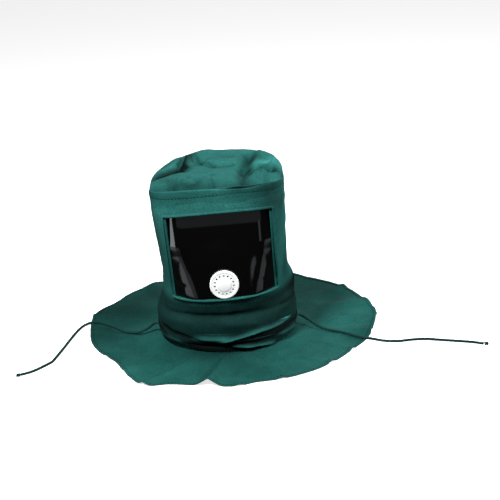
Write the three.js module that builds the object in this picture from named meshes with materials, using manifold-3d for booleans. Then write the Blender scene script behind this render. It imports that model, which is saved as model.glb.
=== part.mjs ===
// A sandblasting hood: a cloth hood with a dark window and a breathing valve in front,
// a drawstring casing at the neck, and a wide cape on which it stands.
// Millimetres, +Z up, the window faces -Y. Angles are in degrees round the neck,
// 0 in front and growing towards the wearer's left, which is +X.

import * as THREE from 'three';
import { mergeVertices } from 'three/addons/utils/BufferGeometryUtils.js';
import Module from 'manifold-3d';

const wasm = await Module();
wasm.setup();

// Cloth, sheet and clearances
const clothThickness = 1.5;
const bindingThickness = 1.5;
const facingThickness = 1.2;
const casingThickness = 1.3;
const sheetThickness = 1;
const clearance = 0.3;
const casingClearance = 0.6;

// Hood wall
const hoodWidth = 236;
const hoodDepth = 236;
const neckHeight = 12;
const wallHeight = 293;
const leanSlope = 0.031;
const leanCentre = 140;
const slumpDepth = 9;
const slumpAngle = -112;
const slumpSpread = 34;
const slumpStart = 245;
const wallFoldDepth = 6;
const sideColumns = 25;
const sideCrowding = 1.25;

// Crown
const crownRise = 17;
const crownFoldHeight = 8;
const crownEdgeRoundness = 5;
const crownFoldFade = 0.12;

// Folded seam strip over the front of the crown
const browSideColumns = 4;
const browDrop = 4;
const browHeight = 16;
const browEndHeight = 1;
const browBend = 40;
const browTaper = 40;
const browThickness = 2.6;
const browEndThickness = 1.3;

// Window
const windowSide = 22;
const windowWidth = hoodWidth - 2 * windowSide;
const windowBottom = 117.5;
const windowTop = 275;
const windowMargin = 9;
const facingReveal = 4;
const bindingWidth = 5;

// Valve
const valveRadius = 26;
const valveThickness = 8.4;
const valveWall = 2;
const valveGap = 0.5;
const valveHeight = windowBottom + valveRadius + valveGap;
const valveOffset = 0;
const valveSeat = 0.7;
const valveBevel = 1.6;
const valveDomeDrop = 0.3;
const valveHoleSides = 8;
const valveHoleCount = 15;
const valveHoleRadius = 1.85;
const valveHoleCircle = 17.2;
const valveDomeRadius = 11.5;
const portRadius = 16;
const backRingWidth = 6;
const backRingThickness = 3;
const valveSides = 30;
const portSides = 20;

// Drawstring and its casing
const cordDiameter = 5;
const casingBottom = 15;
const casingTop = 53;
const casingBulge = 9;
const casingFoldHeight = 5;
const cordHeight = 33;
const frontCasingReach = 79;
const backCasingStart = 90;
const frontCasingColumns = 22;
const backCasingColumns = 20;
const cordSides = 8;
const cordStep = 14;
const knotLength = 10;
const knotWidth = 7;
const knotRest = 0.2;
const hiddenCordSteps = 24;

// Cape
const capeReach = 270;
const capeSlopeReach = 42;
const capeFoldHeight = 15;
const capeColumns = 60;

// Sections of the wall: height as a share of the wall's height above the neck, the half
// width as a share of half the hood's width, the depths in front and behind as shares of
// half its depth, and how square the section is (2 is round) in front and behind.
const wallSections = [
  { height: 0.00, width: 1.050, front: 1.010, back: 1.040, square: 2.1, backSquare: 2.0 },
  { height: 0.07, width: 1.050, front: 1.020, back: 1.040, square: 2.1, backSquare: 2.0 },
  { height: 0.14, width: 1.068, front: 1.045, back: 1.050, square: 2.1, backSquare: 2.0 },
  { height: 0.19, width: 1.068, front: 1.060, back: 1.050, square: 2.1, backSquare: 2.0 },
  { height: 0.24, width: 1.050, front: 1.030, back: 1.040, square: 2.2, backSquare: 2.0 },
  { height: 0.30, width: 1.015, front: 1.065, back: 1.030, square: 2.3, backSquare: 2.0 },
  { height: 0.36, width: 0.990, front: 1.085, back: 1.020, square: 2.4, backSquare: 2.0 },
  { height: 0.46, width: 0.970, front: 1.070, back: 1.010, square: 2.8, backSquare: 2.0 },
  { height: 0.64, width: 0.985, front: 1.040, back: 1.000, square: 4.0, backSquare: 2.0 },
  { height: 0.78, width: 1.000, front: 1.020, back: 1.005, square: 5.5, backSquare: 2.1 },
  { height: 0.90, width: 1.010, front: 1.000, back: 1.020, square: 6.5, backSquare: 2.3 },
  { height: 1.00, width: 1.010, front: 0.965, back: 1.040, square: 5.0, backSquare: 2.6 },
];

// Soft dents (below 0) and bulges of the wall: where they are, how far they spread, and
// their depth as a share of the wall's fold depth. Height and rise are shares of its height.
const wallFolds = [
  { angle: 0, spread: 60, height: 0.235, rise: 0.020, depth: -0.55 },
  { angle: 58, spread: 14, height: 0.230, rise: 0.030, depth: 0.80 },
  { angle: 94, spread: 24, height: 0.310, rise: 0.070, depth: 1.45 },
  { angle: 90, spread: 22, height: 0.960, rise: 0.080, depth: 0.70 },
  { angle: -92, spread: 30, height: 0.700, rise: 0.080, depth: -0.60 },
  { angle: -90, spread: 32, height: 0.600, rise: 0.300, depth: -0.50 },
  { angle: -60, spread: 20, height: 0.180, rise: 0.030, depth: 0.40 },
  { angle: 135, spread: 14, height: 0.450, rise: 0.200, depth: -0.60 },
  { angle: -135, spread: 16, height: 0.450, rise: 0.220, depth: -0.70 },
  { angle: 180, spread: 22, height: 0.330, rise: 0.060, depth: -0.80 },
];

// Rings of the crown from its rim to its centre, as shares of its half width.
const crownInsetStart = 0.8;
const crownInsetSpan = 0.1;
const crownRings = [1, 0.99, 0.955, 0.89, 0.79, 0.66, 0.5, 0.32, 0.15, 0];

// Folds of the crown, each a line from one point to another in shares of half the hood's
// width and depth, with its width as a share of half the width and its height as a share
// of the crown's fold height.
const crownFolds = [
  { fromX: -0.75, fromY: -0.86, toX: 0.80, toY: -0.86, width: 0.20, height: -0.75 },
  { fromX: -0.92, fromY: -0.05, toX: -0.58, toY: 0.25, width: 0.08, height: -0.90 },
  { fromX: -0.52, fromY: 0.90, toX: -0.54, toY: 0.35, width: 0.07, height: -0.55 },
  { fromX: -0.38, fromY: 0.70, toX: -0.25, toY: 0.28, width: 0.07, height: -0.45 },
  { fromX: -0.25, fromY: 0.28, toX: 0.22, toY: 0.05, width: 0.07, height: -0.40 },
  { fromX: 0.54, fromY: 0.45, toX: 0.35, toY: -0.70, width: 0.09, height: -0.75 },
  { fromX: 0.54, fromY: -0.35, toX: 0.90, toY: 0.28, width: 0.08, height: -0.50 },
  { fromX: -0.55, fromY: 0.80, toX: -0.15, toY: 0.88, width: 0.18, height: 0.60 },
  { fromX: -0.40, fromY: 0.88, toX: 0.60, toY: 0.86, width: 0.20, height: 0.45 },
  { fromX: 0.70, fromY: 0.60, toX: 0.88, toY: -0.10, width: 0.12, height: 0.40 },
];

// Profile of the drawstring casing from its lower edge to its upper one.
const casingProfile = [
  { height: 0.00, bulge: 0.00 },
  { height: 0.08, bulge: 0.55 },
  { height: 0.24, bulge: 0.90 },
  { height: 0.48, bulge: 1.00 },
  { height: 0.74, bulge: 0.85 },
  { height: 0.93, bulge: 0.45 },
  { height: 1.00, bulge: 0.00 },
];

// Folds of the front casing, from one point to another, with heights as shares of the
// casing's height, the spread as a share of it too, and the lift as a share of the
// casing's fold height.
const casingFolds = [
  { fromAngle: -6, fromHeight: 0.55, toAngle: 30, toHeight: 0.85, spread: 0.16, lift: 0.8 },
  { fromAngle: 6, fromHeight: 0.35, toAngle: 36, toHeight: 0.20, spread: 0.14, lift: 0.6 },
  { fromAngle: -24, fromHeight: 0.62, toAngle: 0, toHeight: 0.70, spread: 0.14, lift: 0.5 },
  { fromAngle: -24, fromHeight: 0.32, toAngle: 2, toHeight: 0.22, spread: 0.12, lift: -0.5 },
];

// Outline of the cape: how far it reaches from the neck's axis, as a share of its reach.
const capeOutline = [
  { angle: -170, reach: 1.085 },
  { angle: -154, reach: 1.115 },
  { angle: -143, reach: 1.120 },
  { angle: -130, reach: 1.062 },
  { angle: -119, reach: 1.070 },
  { angle: -111, reach: 1.045 },
  { angle: -100, reach: 0.990 },
  { angle: -89, reach: 0.960 },
  { angle: -79, reach: 0.926 },
  { angle: -61, reach: 0.872 },
  { angle: -44, reach: 0.942 },
  { angle: -34, reach: 0.992 },
  { angle: -26, reach: 0.915 },
  { angle: -12, reach: 0.890 },
  { angle: 3, reach: 0.918 },
  { angle: 11, reach: 0.890 },
  { angle: 24, reach: 0.915 },
  { angle: 43, reach: 0.930 },
  { angle: 60, reach: 0.938 },
  { angle: 76, reach: 0.985 },
  { angle: 88, reach: 1.010 },
  { angle: 99, reach: 1.062 },
  { angle: 115, reach: 1.080 },
  { angle: 129, reach: 1.115 },
  { angle: 146, reach: 1.115 },
  { angle: 168, reach: 1.085 },
];

// Rings of the cape from its hem to the neck, as shares of its width.
const capeRings = [1, 0.86, 0.69, 0.53, 0.39, 0.27, 0.17, 0.08, 0];

// Raised folds of the cape: a ridge that starts at one angle and share of the cape's
// width and ends at another, its spread as a share of the cape's width, and its height at
// either end as a share of the cape's fold height.
const capeFolds = [
  { fromAngle: -6, from: 0.25, toAngle: -12, to: 1.15, spread: 0.11, start: 0.30, end: 1.00 },
  { fromAngle: 116, from: 0.55, toAngle: 110, to: 1.05, spread: 0.10, start: 0.20, end: 0.45 },
  { fromAngle: 97, from: 0.40, toAngle: 94, to: 1.05, spread: 0.09, start: 0.25, end: 0.45 },
  { fromAngle: -142, from: 0.55, toAngle: -124, to: 0.62, spread: 0.15, start: 0.40, end: 0.40 },
  { fromAngle: -146, from: 0.60, toAngle: -152, to: 1.10, spread: 0.10, start: 0.20, end: 0.45 },
  { fromAngle: 150, from: 0.50, toAngle: 155, to: 1.10, spread: 0.11, start: 0.20, end: 0.45 },
];

// Routes of the two free cord ends after they leave the casing, with the neck's axis at
// 0, 0: out of the slit, down onto the cape, over its hem and along the surface.
const leftCordRoute = [
  [-131, -12, 32.5], [-138.5, -4, 28], [-147, 2, 19.5], [-158, 6, 11.5],
  [-173, 9, 6.4], [-195, 21, 4.4], [-213, 43, 4.4], [-237, 66, 4.6], [-255, 78, 4.6],
  [-267, 75, 4.4], [-278, 67, 2.9], [-287, 46, 2.7], [-297, 9, 2.7], [-307, -33, 2.7], [-316, -69, 2.7],
  [-323, -94, 2.7], [-332, -107, 2.7], [-346, -124, 2.7], [-358, -135, 2.7],
  [-375, -145, 2.9],
];
const rightCordRoute = [
  [131.5, -12, 32], [138.5, -7, 27.5], [150, -6, 18.5], [165, -11, 8.8],
  [179, -23, 5.0], [196, -35, 4.4], [211, -44, 4.4], [232, -63, 4.5], [249, -77, 4.5],
  [263, -83, 4.4], [276, -88, 2.9], [292, -94, 2.7], [313, -97, 2.7], [334, -94, 2.7], [359, -95, 2.7],
  [385, -103, 2.7], [415, -113, 2.7], [441, -122, 2.7], [459, -132, 2.9],
];

// Materials
function material(color, roughness, metalness = 0) {
  return new THREE.MeshStandardMaterial({ color, roughness, metalness });
}
const cloth = () => material(0x1f6b5c, 0.85);
const trimCloth = () => material(0x195a4e, 0.85);
const sheetFilm = () => material(0x121615, 0.15);
const whitePlastic = () => material(0xe6eae8, 0.45);
const braid = () => material(0x17372f, 0.8);

// Numbers and tables
const radians = THREE.MathUtils.degToRad;

function smooth(share) {
  const t = Math.min(1, Math.max(0, share));
  return t * t * (3 - 2 * t);
}

function bell(distance, spread) {
  return Math.exp(-((distance / spread) ** 2));
}

function turnBetween(angle, other) {
  return ((angle - other + 540) % 360 + 360) % 360 - 180;
}

// A smooth curve through four values, the middle two at share 0 and 1.
function curveThrough(before, start, end, after, share) {
  const startSlope = (end - before) / 2;
  const endSlope = (after - start) / 2;
  const square = share * share;
  const cube = square * share;
  return (2 * cube - 3 * square + 1) * start + (cube - 2 * square + share) * startSlope
    + (3 * square - 2 * cube) * end + (cube - square) * endSlope;
}

function sectionValue(name, share) {
  const last = wallSections.length - 1;
  const at = Math.min(1, Math.max(0, share));
  let row = 0;
  while (row < last - 1 && wallSections[row + 1].height < at) {
    row += 1;
  }
  const start = wallSections[row];
  const end = wallSections[row + 1];
  const before = wallSections[Math.max(0, row - 1)];
  const after = wallSections[Math.min(last, row + 2)];
  const t = (at - start.height) / (end.height - start.height);
  return curveThrough(before[name], start[name], end[name], after[name], t);
}

function outlineReach(angle) {
  const rows = capeOutline.length;
  const at = ((angle - capeOutline[0].angle) % 360 + 360) % 360 + capeOutline[0].angle;
  let row = rows - 1;
  while (capeOutline[row].angle > at) {
    row -= 1;
  }
  const start = capeOutline[row];
  const end = capeOutline[(row + 1) % rows];
  const span = ((end.angle - start.angle) % 360 + 360) % 360;
  const before = capeOutline[(row + rows - 1) % rows].reach;
  const after = capeOutline[(row + 2) % rows].reach;
  const t = (at - start.angle) / span;
  return capeReach * curveThrough(before, start.reach, end.reach, after, t);
}

// How far a point lies from the line of a fold, and how far along it from 0 to 1.
function foldPlace(x, y, fromX, fromY, toX, toY) {
  const dx = toX - fromX;
  const dy = toY - fromY;
  const t = ((x - fromX) * dx + (y - fromY) * dy) / (dx * dx + dy * dy);
  const along = Math.min(1, Math.max(0, t));
  return { along, aside: Math.hypot(x - fromX - along * dx, y - fromY - along * dy) };
}

// The hood wall
function heightShare(height) {
  return (height - neckHeight) / wallHeight;
}

function wallRadius(angle, height) {
  const share = heightShare(height);
  const turn = radians(angle);
  const inFront = Math.cos(turn) > 0;
  const halfWidth = hoodWidth / 2 * sectionValue('width', share);
  const depth = hoodDepth / 2 * sectionValue(inFront ? 'front' : 'back', share);
  const square = sectionValue(inFront ? 'square' : 'backSquare', share);
  const sum = Math.abs(Math.sin(turn) / halfWidth) ** square
    + Math.abs(Math.cos(turn) / depth) ** square;
  let radius = sum ** (-1 / square);
  for (const fold of wallFolds) {
    const aside = bell(turnBetween(angle, fold.angle), fold.spread);
    radius += wallFoldDepth * fold.depth * aside * bell(share - fold.height, fold.rise);
  }
  return radius;
}

// The whole hood above the casing leans a little towards -X, and its top slumps there.
function lean(point) {
  const grown = smooth((point.z - casingTop) / (windowBottom - casingTop));
  const angle = THREE.MathUtils.radToDeg(Math.atan2(point.x, -point.y));
  const outward = smooth(Math.hypot(point.x, point.y) / (hoodWidth / 2));
  const slumped = smooth((point.z - slumpStart) / (wallHeight + neckHeight - slumpStart));
  const slump = slumpDepth * slumped * outward * bell(turnBetween(angle, slumpAngle), slumpSpread);
  const x = point.x - leanSlope * (point.z - leanCentre) * grown;
  const z = point.z + leanSlope * point.x * grown - slump;
  return new THREE.Vector3(x, point.y, z);
}

function uprightPoint(angle, height) {
  const radius = wallRadius(angle, height);
  const turn = radians(angle);
  return new THREE.Vector3(radius * Math.sin(turn), -radius * Math.cos(turn), height);
}

function wallNormal(angle, height) {
  const turnStep = 0.5;
  const heightStep = 0.5;
  const across = uprightPoint(angle + turnStep, height)
    .sub(uprightPoint(angle - turnStep, height));
  const up = uprightPoint(angle, height + heightStep)
    .sub(uprightPoint(angle, height - heightStep));
  return across.cross(up).normalize();
}

// A point of the wall's outer face, lifted off it by a distance.
function wallPoint(angle, height, lift = 0) {
  const point = uprightPoint(angle, height);
  return lean(point.addScaledVector(wallNormal(angle, height), lift));
}

// The angle at which the front of the wall is at a given x.
function angleAtX(x, height) {
  const share = heightShare(height);
  const halfWidth = hoodWidth / 2 * sectionValue('width', share);
  const depth = hoodDepth / 2 * sectionValue('front', share);
  const square = sectionValue('square', share);
  const y = depth * (1 - Math.abs(x / halfWidth) ** square) ** (1 / square);
  return THREE.MathUtils.radToDeg(Math.atan2(x, y));
}

// Columns and rows that the wall shares with the window's pieces
const halfWindow = windowWidth / 2;
const paneEdge = halfWindow - facingReveal;
const flatHalf = valveRadius + 1;
const paneShares = [0.25, 0.5, 0.75];
const rightPane = [
  flatHalf / 2,
  flatHalf,
  ...paneShares.map((share) => flatHalf + (paneEdge - flatHalf) * share),
  paneEdge,
  halfWindow,
  halfWindow + windowMargin,
];
const paneColumns = [...rightPane.map((x) => -x).reverse(), 0, ...rightPane];
const paneRowShares = [0.18, 0.35, 0.55, 0.77];
const paneRows = [
  windowBottom - windowMargin,
  windowBottom,
  ...paneRowShares.map((share) => windowBottom + (windowTop - windowBottom) * share),
  windowTop,
  windowTop + windowMargin,
];
const rimHeight = neckHeight + wallHeight;
const bandShares = [0, 0.25, 0.45, 0.62, 0.8];
const bandRows = bandShares.map((share) => neckHeight + (paneRows[0] - neckHeight) * share);
const wallRows = [...bandRows, ...paneRows, (paneRows.at(-1) + rimHeight) / 2, rimHeight];
const wallColumns = paneColumns.length + sideColumns;

// The pane's columns keep their x. The others share out the sides and the back, closer
// together near the front corners.
function wallColumnAngle(column, height) {
  if (column < paneColumns.length) {
    return angleAtX(paneColumns[column], height);
  }
  const start = angleAtX(paneColumns.at(-1), height);
  const share = (column - paneColumns.length + 1) / (sideColumns + 1);
  const fromBack = 2 * share - 1;
  const spread = 1 - (1 - Math.abs(fromBack)) ** sideCrowding;
  return 180 + (180 - start) * Math.sign(fromBack) * spread;
}

// Solids
// Makes one closed solid from flat triangles whose corners meet.
function solidFrom(positions, index) {
  const loose = new THREE.BufferGeometry();
  loose.setAttribute('position', new THREE.Float32BufferAttribute(positions, 3));
  loose.setIndex(index);
  const welded = mergeVertices(loose, 1e-4);
  const corners = welded.getIndex().array;
  const kept = [];
  for (let i = 0; i < corners.length; i += 3) {
    const [a, b, c] = [corners[i], corners[i + 1], corners[i + 2]];
    if (a !== b && b !== c && c !== a) {
      kept.push(a, b, c);
    }
  }
  welded.setIndex(kept);
  return welded;
}

// A thin shell between two faces given on the same grid, seen from outside with its
// columns from left to right and its rows upwards. Cells that aren't kept are left open.
function shell({ outer, inner, columns, rows, closed = false, keep = () => true }) {
  const across = closed ? columns : columns + 1;
  const positions = [];
  for (const face of [outer, inner]) {
    for (let row = 0; row <= rows; row += 1) {
      for (let column = 0; column < across; column += 1) {
        positions.push(...face(column, row).toArray());
      }
    }
  }
  const layer = across * (rows + 1);
  const wrap = (column) => (closed ? (column + columns) % columns : column);
  const near = (column, row) => row * across + wrap(column);
  const far = (column, row) => layer + near(column, row);
  const isKept = (column, row) => {
    const inRows = row >= 0 && row < rows;
    const inColumns = closed || (column >= 0 && column < columns);
    return inRows && inColumns && keep(wrap(column), row);
  };
  const index = [];
  const quad = (a, b, c, d) => index.push(a, b, c, a, c, d);
  for (let row = 0; row < rows; row += 1) {
    for (let column = 0; column < columns; column += 1) {
      if (!isKept(column, row)) {
        continue;
      }
      const [right, above] = [column + 1, row + 1];
      quad(near(column, row), near(right, row), near(right, above), near(column, above));
      index.push(far(column, row), far(right, above), far(right, row));
      index.push(far(column, row), far(column, above), far(right, above));
      if (!isKept(column, row - 1)) {
        quad(near(column, row), far(column, row), far(right, row), near(right, row));
      }
      if (!isKept(column, above)) {
        quad(near(column, above), near(right, above), far(right, above), far(column, above));
      }
      if (!isKept(column - 1, row)) {
        quad(near(column, row), near(column, above), far(column, above), far(column, row));
      }
      if (!isKept(right, row)) {
        quad(near(right, row), far(right, row), far(right, above), near(right, above));
      }
    }
  }
  return solidFrom(positions, index);
}

// A tube along points, with flat ends.
function tube(points) {
  const curve = new THREE.CatmullRomCurve3(points, false, 'centripetal');
  const section = new THREE.Shape();
  for (let side = 0; side < cordSides; side += 1) {
    const turn = 2 * Math.PI * side / cordSides;
    const x = cordDiameter / 2 * Math.cos(turn);
    const y = cordDiameter / 2 * Math.sin(turn);
    if (side === 0) {
      section.moveTo(x, y);
    } else {
      section.lineTo(x, y);
    }
  }
  section.closePath();
  const steps = Math.round(curve.getLength() / cordStep);
  return plain(new THREE.ExtrudeGeometry(section, { steps, extrudePath: curve }));
}

// Leaves only welded positions on a geometry.
function plain(geometry) {
  const bare = geometry.index ? geometry.toNonIndexed() : geometry;
  const positions = [...bare.getAttribute('position').array];
  return solidFrom(positions, positions.slice(0, positions.length / 3).map((_, i) => i));
}

function toManifold(geometry) {
  const vertProperties = new Float32Array(geometry.getAttribute('position').array);
  const triVerts = new Uint32Array(geometry.getIndex().array);
  return new wasm.Manifold(new wasm.Mesh({ numProp: 3, vertProperties, triVerts }));
}

function fromManifold(solid) {
  const mesh = solid.getMesh();
  return solidFrom([...mesh.vertProperties], [...mesh.triVerts]);
}

function addPiece(parent, name, geometry, finish) {
  const piece = new THREE.Mesh(geometry, finish);
  piece.name = name;
  parent.add(piece);
  return piece;
}

// The cloth wall, open below and above, with the window cut out of it.
function hoodBody() {
  const firstRow = wallRows.indexOf(windowBottom);
  const lastRow = wallRows.indexOf(windowTop);
  const firstColumn = paneColumns.indexOf(-halfWindow);
  const lastColumn = paneColumns.indexOf(halfWindow);
  const inWindow = (column, row) => row >= firstRow && row < lastRow
    && column >= firstColumn && column < lastColumn;
  const face = (lift) => (column, row) => {
    const height = wallRows[row];
    return wallPoint(wallColumnAngle(column, height), height, lift);
  };
  return shell({
    outer: face(0),
    inner: face(-clothThickness),
    columns: wallColumns,
    rows: wallRows.length - 1,
    closed: true,
    keep: (column, row) => !inWindow(column, row),
  });
}

// The cloth crown: a rounded edge, a nearly flat top and its folds.
function crownHeight(x, y, share) {
  const rise = crownRise * (1 - share ** crownEdgeRoundness) ** (1 / crownEdgeRoundness);
  const away = smooth((1 - share) / crownFoldFade);
  let folds = 0;
  for (const fold of crownFolds) {
    const { aside } = foldPlace(x, y, fold.fromX, fold.fromY, fold.toX, fold.toY);
    folds += fold.height * bell(aside, fold.width);
  }
  return rimHeight + clearance + rise + crownFoldHeight * folds * away;
}

function crownPoint(column, ring, depth) {
  const rim = uprightPoint(wallColumnAngle(column, rimHeight), rimHeight);
  const rimReach = Math.hypot(rim.x, rim.y);
  const share = crownRings[ring];
  const nearEdge = smooth((share - crownInsetStart) / crownInsetSpan);
  const inset = (rimReach - depth * nearEdge) / rimReach;
  const x = rim.x * share * inset;
  const y = rim.y * share * inset;
  const top = crownHeight(2 * rim.x * share / hoodWidth, 2 * rim.y * share / hoodDepth, share);
  const drop = ring === 0 ? 0 : depth;
  return lean(new THREE.Vector3(x, y, top - drop));
}

function crown() {
  return shell({
    outer: (column, ring) => crownPoint(column, ring, 0),
    inner: (column, ring) => crownPoint(column, ring, clothThickness),
    columns: wallColumns,
    rows: crownRings.length - 1,
    closed: true,
  });
}

// The folded seam strip: it starts on the wall below the rim and stands over the crown.
const browColumns = paneColumns.length - 1 + 2 * browSideColumns;
const browProfile = [
  { rise: 0.00, out: 0.0 },
  { rise: 0.45, out: 0.3 },
  { rise: 0.85, out: 0.8 },
  { rise: 1.00, out: 0.6 },
];

function browPoint(column, row, layer) {
  const wallColumn = (column - browSideColumns + wallColumns) % wallColumns;
  const angle = turnBetween(wallColumnAngle(wallColumn, rimHeight), 0);
  const { rise, out } = browProfile[row];
  const toEnd = smooth((Math.abs(angle) - browBend) / browTaper);
  const stands = browHeight - (browHeight - browEndHeight) * toEnd;
  const height = rimHeight - browDrop + rise * (stands + browDrop);
  const onWall = Math.min(height, rimHeight);
  const point = uprightPoint(angle, onWall);
  const normal = wallNormal(angle, onWall).setZ(0).normalize();
  const thickness = browThickness - (browThickness - browEndThickness) * toEnd;
  point.addScaledVector(normal, casingClearance + thickness * (layer + out / 2));
  return lean(point.setZ(height));
}

function browHem() {
  return shell({
    outer: (column, row) => browPoint(column, row, 1),
    inner: (column, row) => browPoint(column, row, 0),
    columns: browColumns,
    rows: browProfile.length - 1,
  });
}

// The rolled edge outside, round the window opening.
function windowBinding() {
  const columns = paneColumns.slice(1, -1);
  columns.unshift(-halfWindow - bindingWidth);
  columns.push(halfWindow + bindingWidth);
  const rows = paneRows.slice(1, -1);
  rows.unshift(windowBottom - bindingWidth);
  rows.push(windowTop + bindingWidth);
  const lastColumn = columns.length - 2;
  const lastRow = rows.length - 2;
  const face = (lift) => (column, row) => (
    wallPoint(angleAtX(columns[column], rows[row]), rows[row], lift)
  );
  return shell({
    outer: face(clearance + bindingThickness),
    inner: face(clearance),
    columns: columns.length - 1,
    rows: rows.length - 1,
    keep: (column, row) => column === 0 || column === lastColumn || row === 0 || row === lastRow,
  });
}

// Layers behind the wall at the window, each with its outer face this far inside it.
const facingDepth = clothThickness + clearance;
const sheetDepth = facingDepth + facingThickness + clearance;

function paneFace(depth, half) {
  return (column, row) => {
    const x = paneColumns[column];
    const height = paneRows[row];
    const point = wallPoint(angleAtX(x, height), height, -depth);
    const flat = half > 0 && height > paneRows[0] && height < windowTop;
    if (flat && Math.abs(x) < half) {
      const side = wallPoint(angleAtX(half, height), height, -depth);
      point.y = side.y;
    }
    return point;
  };
}

// The cloth frame inside that shows a narrow strip at the window's left and right.
function windowFacing() {
  const first = paneColumns.indexOf(-paneEdge);
  const last = paneColumns.indexOf(paneEdge);
  const bottom = paneRows.indexOf(windowBottom);
  const top = paneRows.indexOf(windowTop);
  return shell({
    outer: paneFace(facingDepth, 0),
    inner: paneFace(facingDepth + facingThickness, 0),
    columns: paneColumns.length - 1,
    rows: paneRows.length - 1,
    keep: (column, row) => column < first || column >= last || row < bottom || row >= top,
  });
}

// The valve's place: on the flat middle of the sheet, square to it.
function valveFrame() {
  const rise = valveRadius;
  const faceAt = (height) => wallPoint(angleAtX(flatHalf, height), height, -sheetDepth).y;
  const low = faceAt(valveHeight - rise);
  const high = faceAt(valveHeight + rise);
  const tilt = Math.atan2(high - low, 2 * rise);
  const centre = lean(new THREE.Vector3(valveOffset, (low + high) / 2, valveHeight));
  const out = new THREE.Vector3(0, -Math.cos(tilt), Math.sin(tilt));
  const turn = new THREE.Quaternion().setFromUnitVectors(new THREE.Vector3(0, 0, 1), out);
  return new THREE.Matrix4().compose(centre, turn, new THREE.Vector3(1, 1, 1));
}

// The dark sheet, with the port behind the valve.
function windowSheet() {
  const sheet = shell({
    outer: paneFace(sheetDepth, flatHalf),
    inner: paneFace(sheetDepth + sheetThickness, flatHalf),
    columns: paneColumns.length - 1,
    rows: paneRows.length - 1,
  });
  const cutterLength = 30;
  const cutter = new THREE.CylinderGeometry(portRadius, portRadius, cutterLength, portSides);
  cutter.rotateX(Math.PI / 2).applyMatrix4(valveFrame());
  return fromManifold(toManifold(sheet).subtract(toManifold(plain(cutter))));
}

function lathe(profile, sides) {
  const points = profile.map(([radius, height]) => new THREE.Vector2(radius, height));
  return plain(new THREE.LatheGeometry(points, sides)).rotateX(Math.PI / 2);
}

// The white valve cover: a shallow cap with a ring of holes round a low dome.
function valveCover() {
  const base = valveSeat;
  const bevel = valveBevel;
  const plate = valveThickness - bevel;
  const profile = [
    [0, valveThickness - valveWall],
    [valveDomeRadius, plate - valveWall],
    [valveRadius - valveWall - bevel, plate - valveWall],
    [valveRadius - valveWall, plate - valveWall - bevel],
    [valveRadius - valveWall, base],
    [valveRadius, base],
    [valveRadius, plate - bevel],
    [valveRadius - bevel, plate],
    [valveDomeRadius + bevel, plate],
    [valveDomeRadius, valveThickness - valveDomeDrop],
    [0, valveThickness],
  ];
  let cover = toManifold(lathe(profile, valveSides));
  for (let hole = 0; hole < valveHoleCount; hole += 1) {
    const turn = 2 * Math.PI * hole / valveHoleCount;
    const cutter = new THREE.CylinderGeometry(
      valveHoleRadius,
      valveHoleRadius,
      valveThickness,
      valveHoleSides,
    );
    cutter.rotateX(Math.PI / 2);
    const across = valveHoleCircle * Math.sin(turn);
    const up = valveHoleCircle * Math.cos(turn);
    cutter.translate(across, up, valveThickness);
    cover = cover.subtract(toManifold(plain(cutter)));
  }
  return fromManifold(cover).applyMatrix4(valveFrame());
}

// The plain ring behind the sheet that holds the valve.
function valveBackRing() {
  const top = -sheetThickness - 2 * clearance;
  const inside = portRadius + 1;
  const outside = inside + backRingWidth;
  const profile = [
    [inside, top - backRingThickness],
    [outside, top - backRingThickness],
    [outside, top],
    [inside, top],
    [inside, top - backRingThickness],
  ];
  return lathe(profile, portSides).applyMatrix4(valveFrame());
}

// One half of the drawstring casing, a soft tunnel on the outside of the wall.
function casingPoint(angle, row, lift, folds) {
  const { height, bulge } = casingProfile[row];
  const z = casingBottom + (casingTop - casingBottom) * height;
  let out = casingBulge * bulge;
  for (const fold of folds) {
    const turnScale = (casingTop - casingBottom) / (hoodWidth / 2) / radians(1);
    const { aside } = foldPlace(
      angle / turnScale,
      height,
      fold.fromAngle / turnScale,
      fold.fromHeight,
      fold.toAngle / turnScale,
      fold.toHeight,
    );
    out += casingFoldHeight * fold.lift * bulge * bell(aside, fold.spread);
  }
  return wallPoint(angle, z, lift + out);
}

function casing(fromAngle, toAngle, columns, folds) {
  const face = (lift) => (column, row) => {
    const angle = fromAngle + (toAngle - fromAngle) * column / columns;
    return casingPoint(angle, row, lift, folds);
  };
  return shell({
    outer: face(casingClearance + casingThickness),
    inner: face(casingClearance),
    columns,
    rows: casingProfile.length - 1,
  });
}

// The drawstring inside the casing, with its middle just off the wall.
const cordLift = casingClearance + clearance + cordDiameter / 2;

function mouthPoint(side) {
  return wallPoint(side * frontCasingReach, cordHeight, cordLift);
}

function hiddenDrawstring() {
  const points = [];
  for (let step = 0; step <= hiddenCordSteps; step += 1) {
    const angle = frontCasingReach * (2 * step / hiddenCordSteps - 1);
    points.push(wallPoint(angle, cordHeight, cordLift));
  }
  return tube(points);
}

// A free cord end: it starts at the casing's mouth, just clear of the hidden stretch.
function cordPoints(side, route) {
  const mouth = mouthPoint(side);
  const inside = wallPoint(side * (frontCasingReach - 2), cordHeight, cordLift);
  const onward = mouth.clone().sub(inside).normalize();
  const start = mouth.clone().addScaledVector(onward, 2 * clearance);
  const straight = start.clone().addScaledVector(onward, cordDiameter / 2);
  return [start, straight, ...route.map((place) => new THREE.Vector3(...place))];
}

function knot(route) {
  const end = new THREE.Vector3(...route.at(-1));
  const before = new THREE.Vector3(...route.at(-2));
  const along = end.clone().sub(before).setZ(0).normalize();
  const ball = new THREE.SphereGeometry(0.5, 10, 6);
  ball.rotateZ(Math.PI / 2).scale(knotLength, knotWidth, knotWidth);
  ball.rotateZ(Math.atan2(along.y, along.x));
  const centre = end.addScaledVector(along, knotLength / 2 + clearance);
  centre.z = knotWidth / 2 + knotRest;
  return plain(ball.translate(centre.x, centre.y, centre.z));
}

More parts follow.
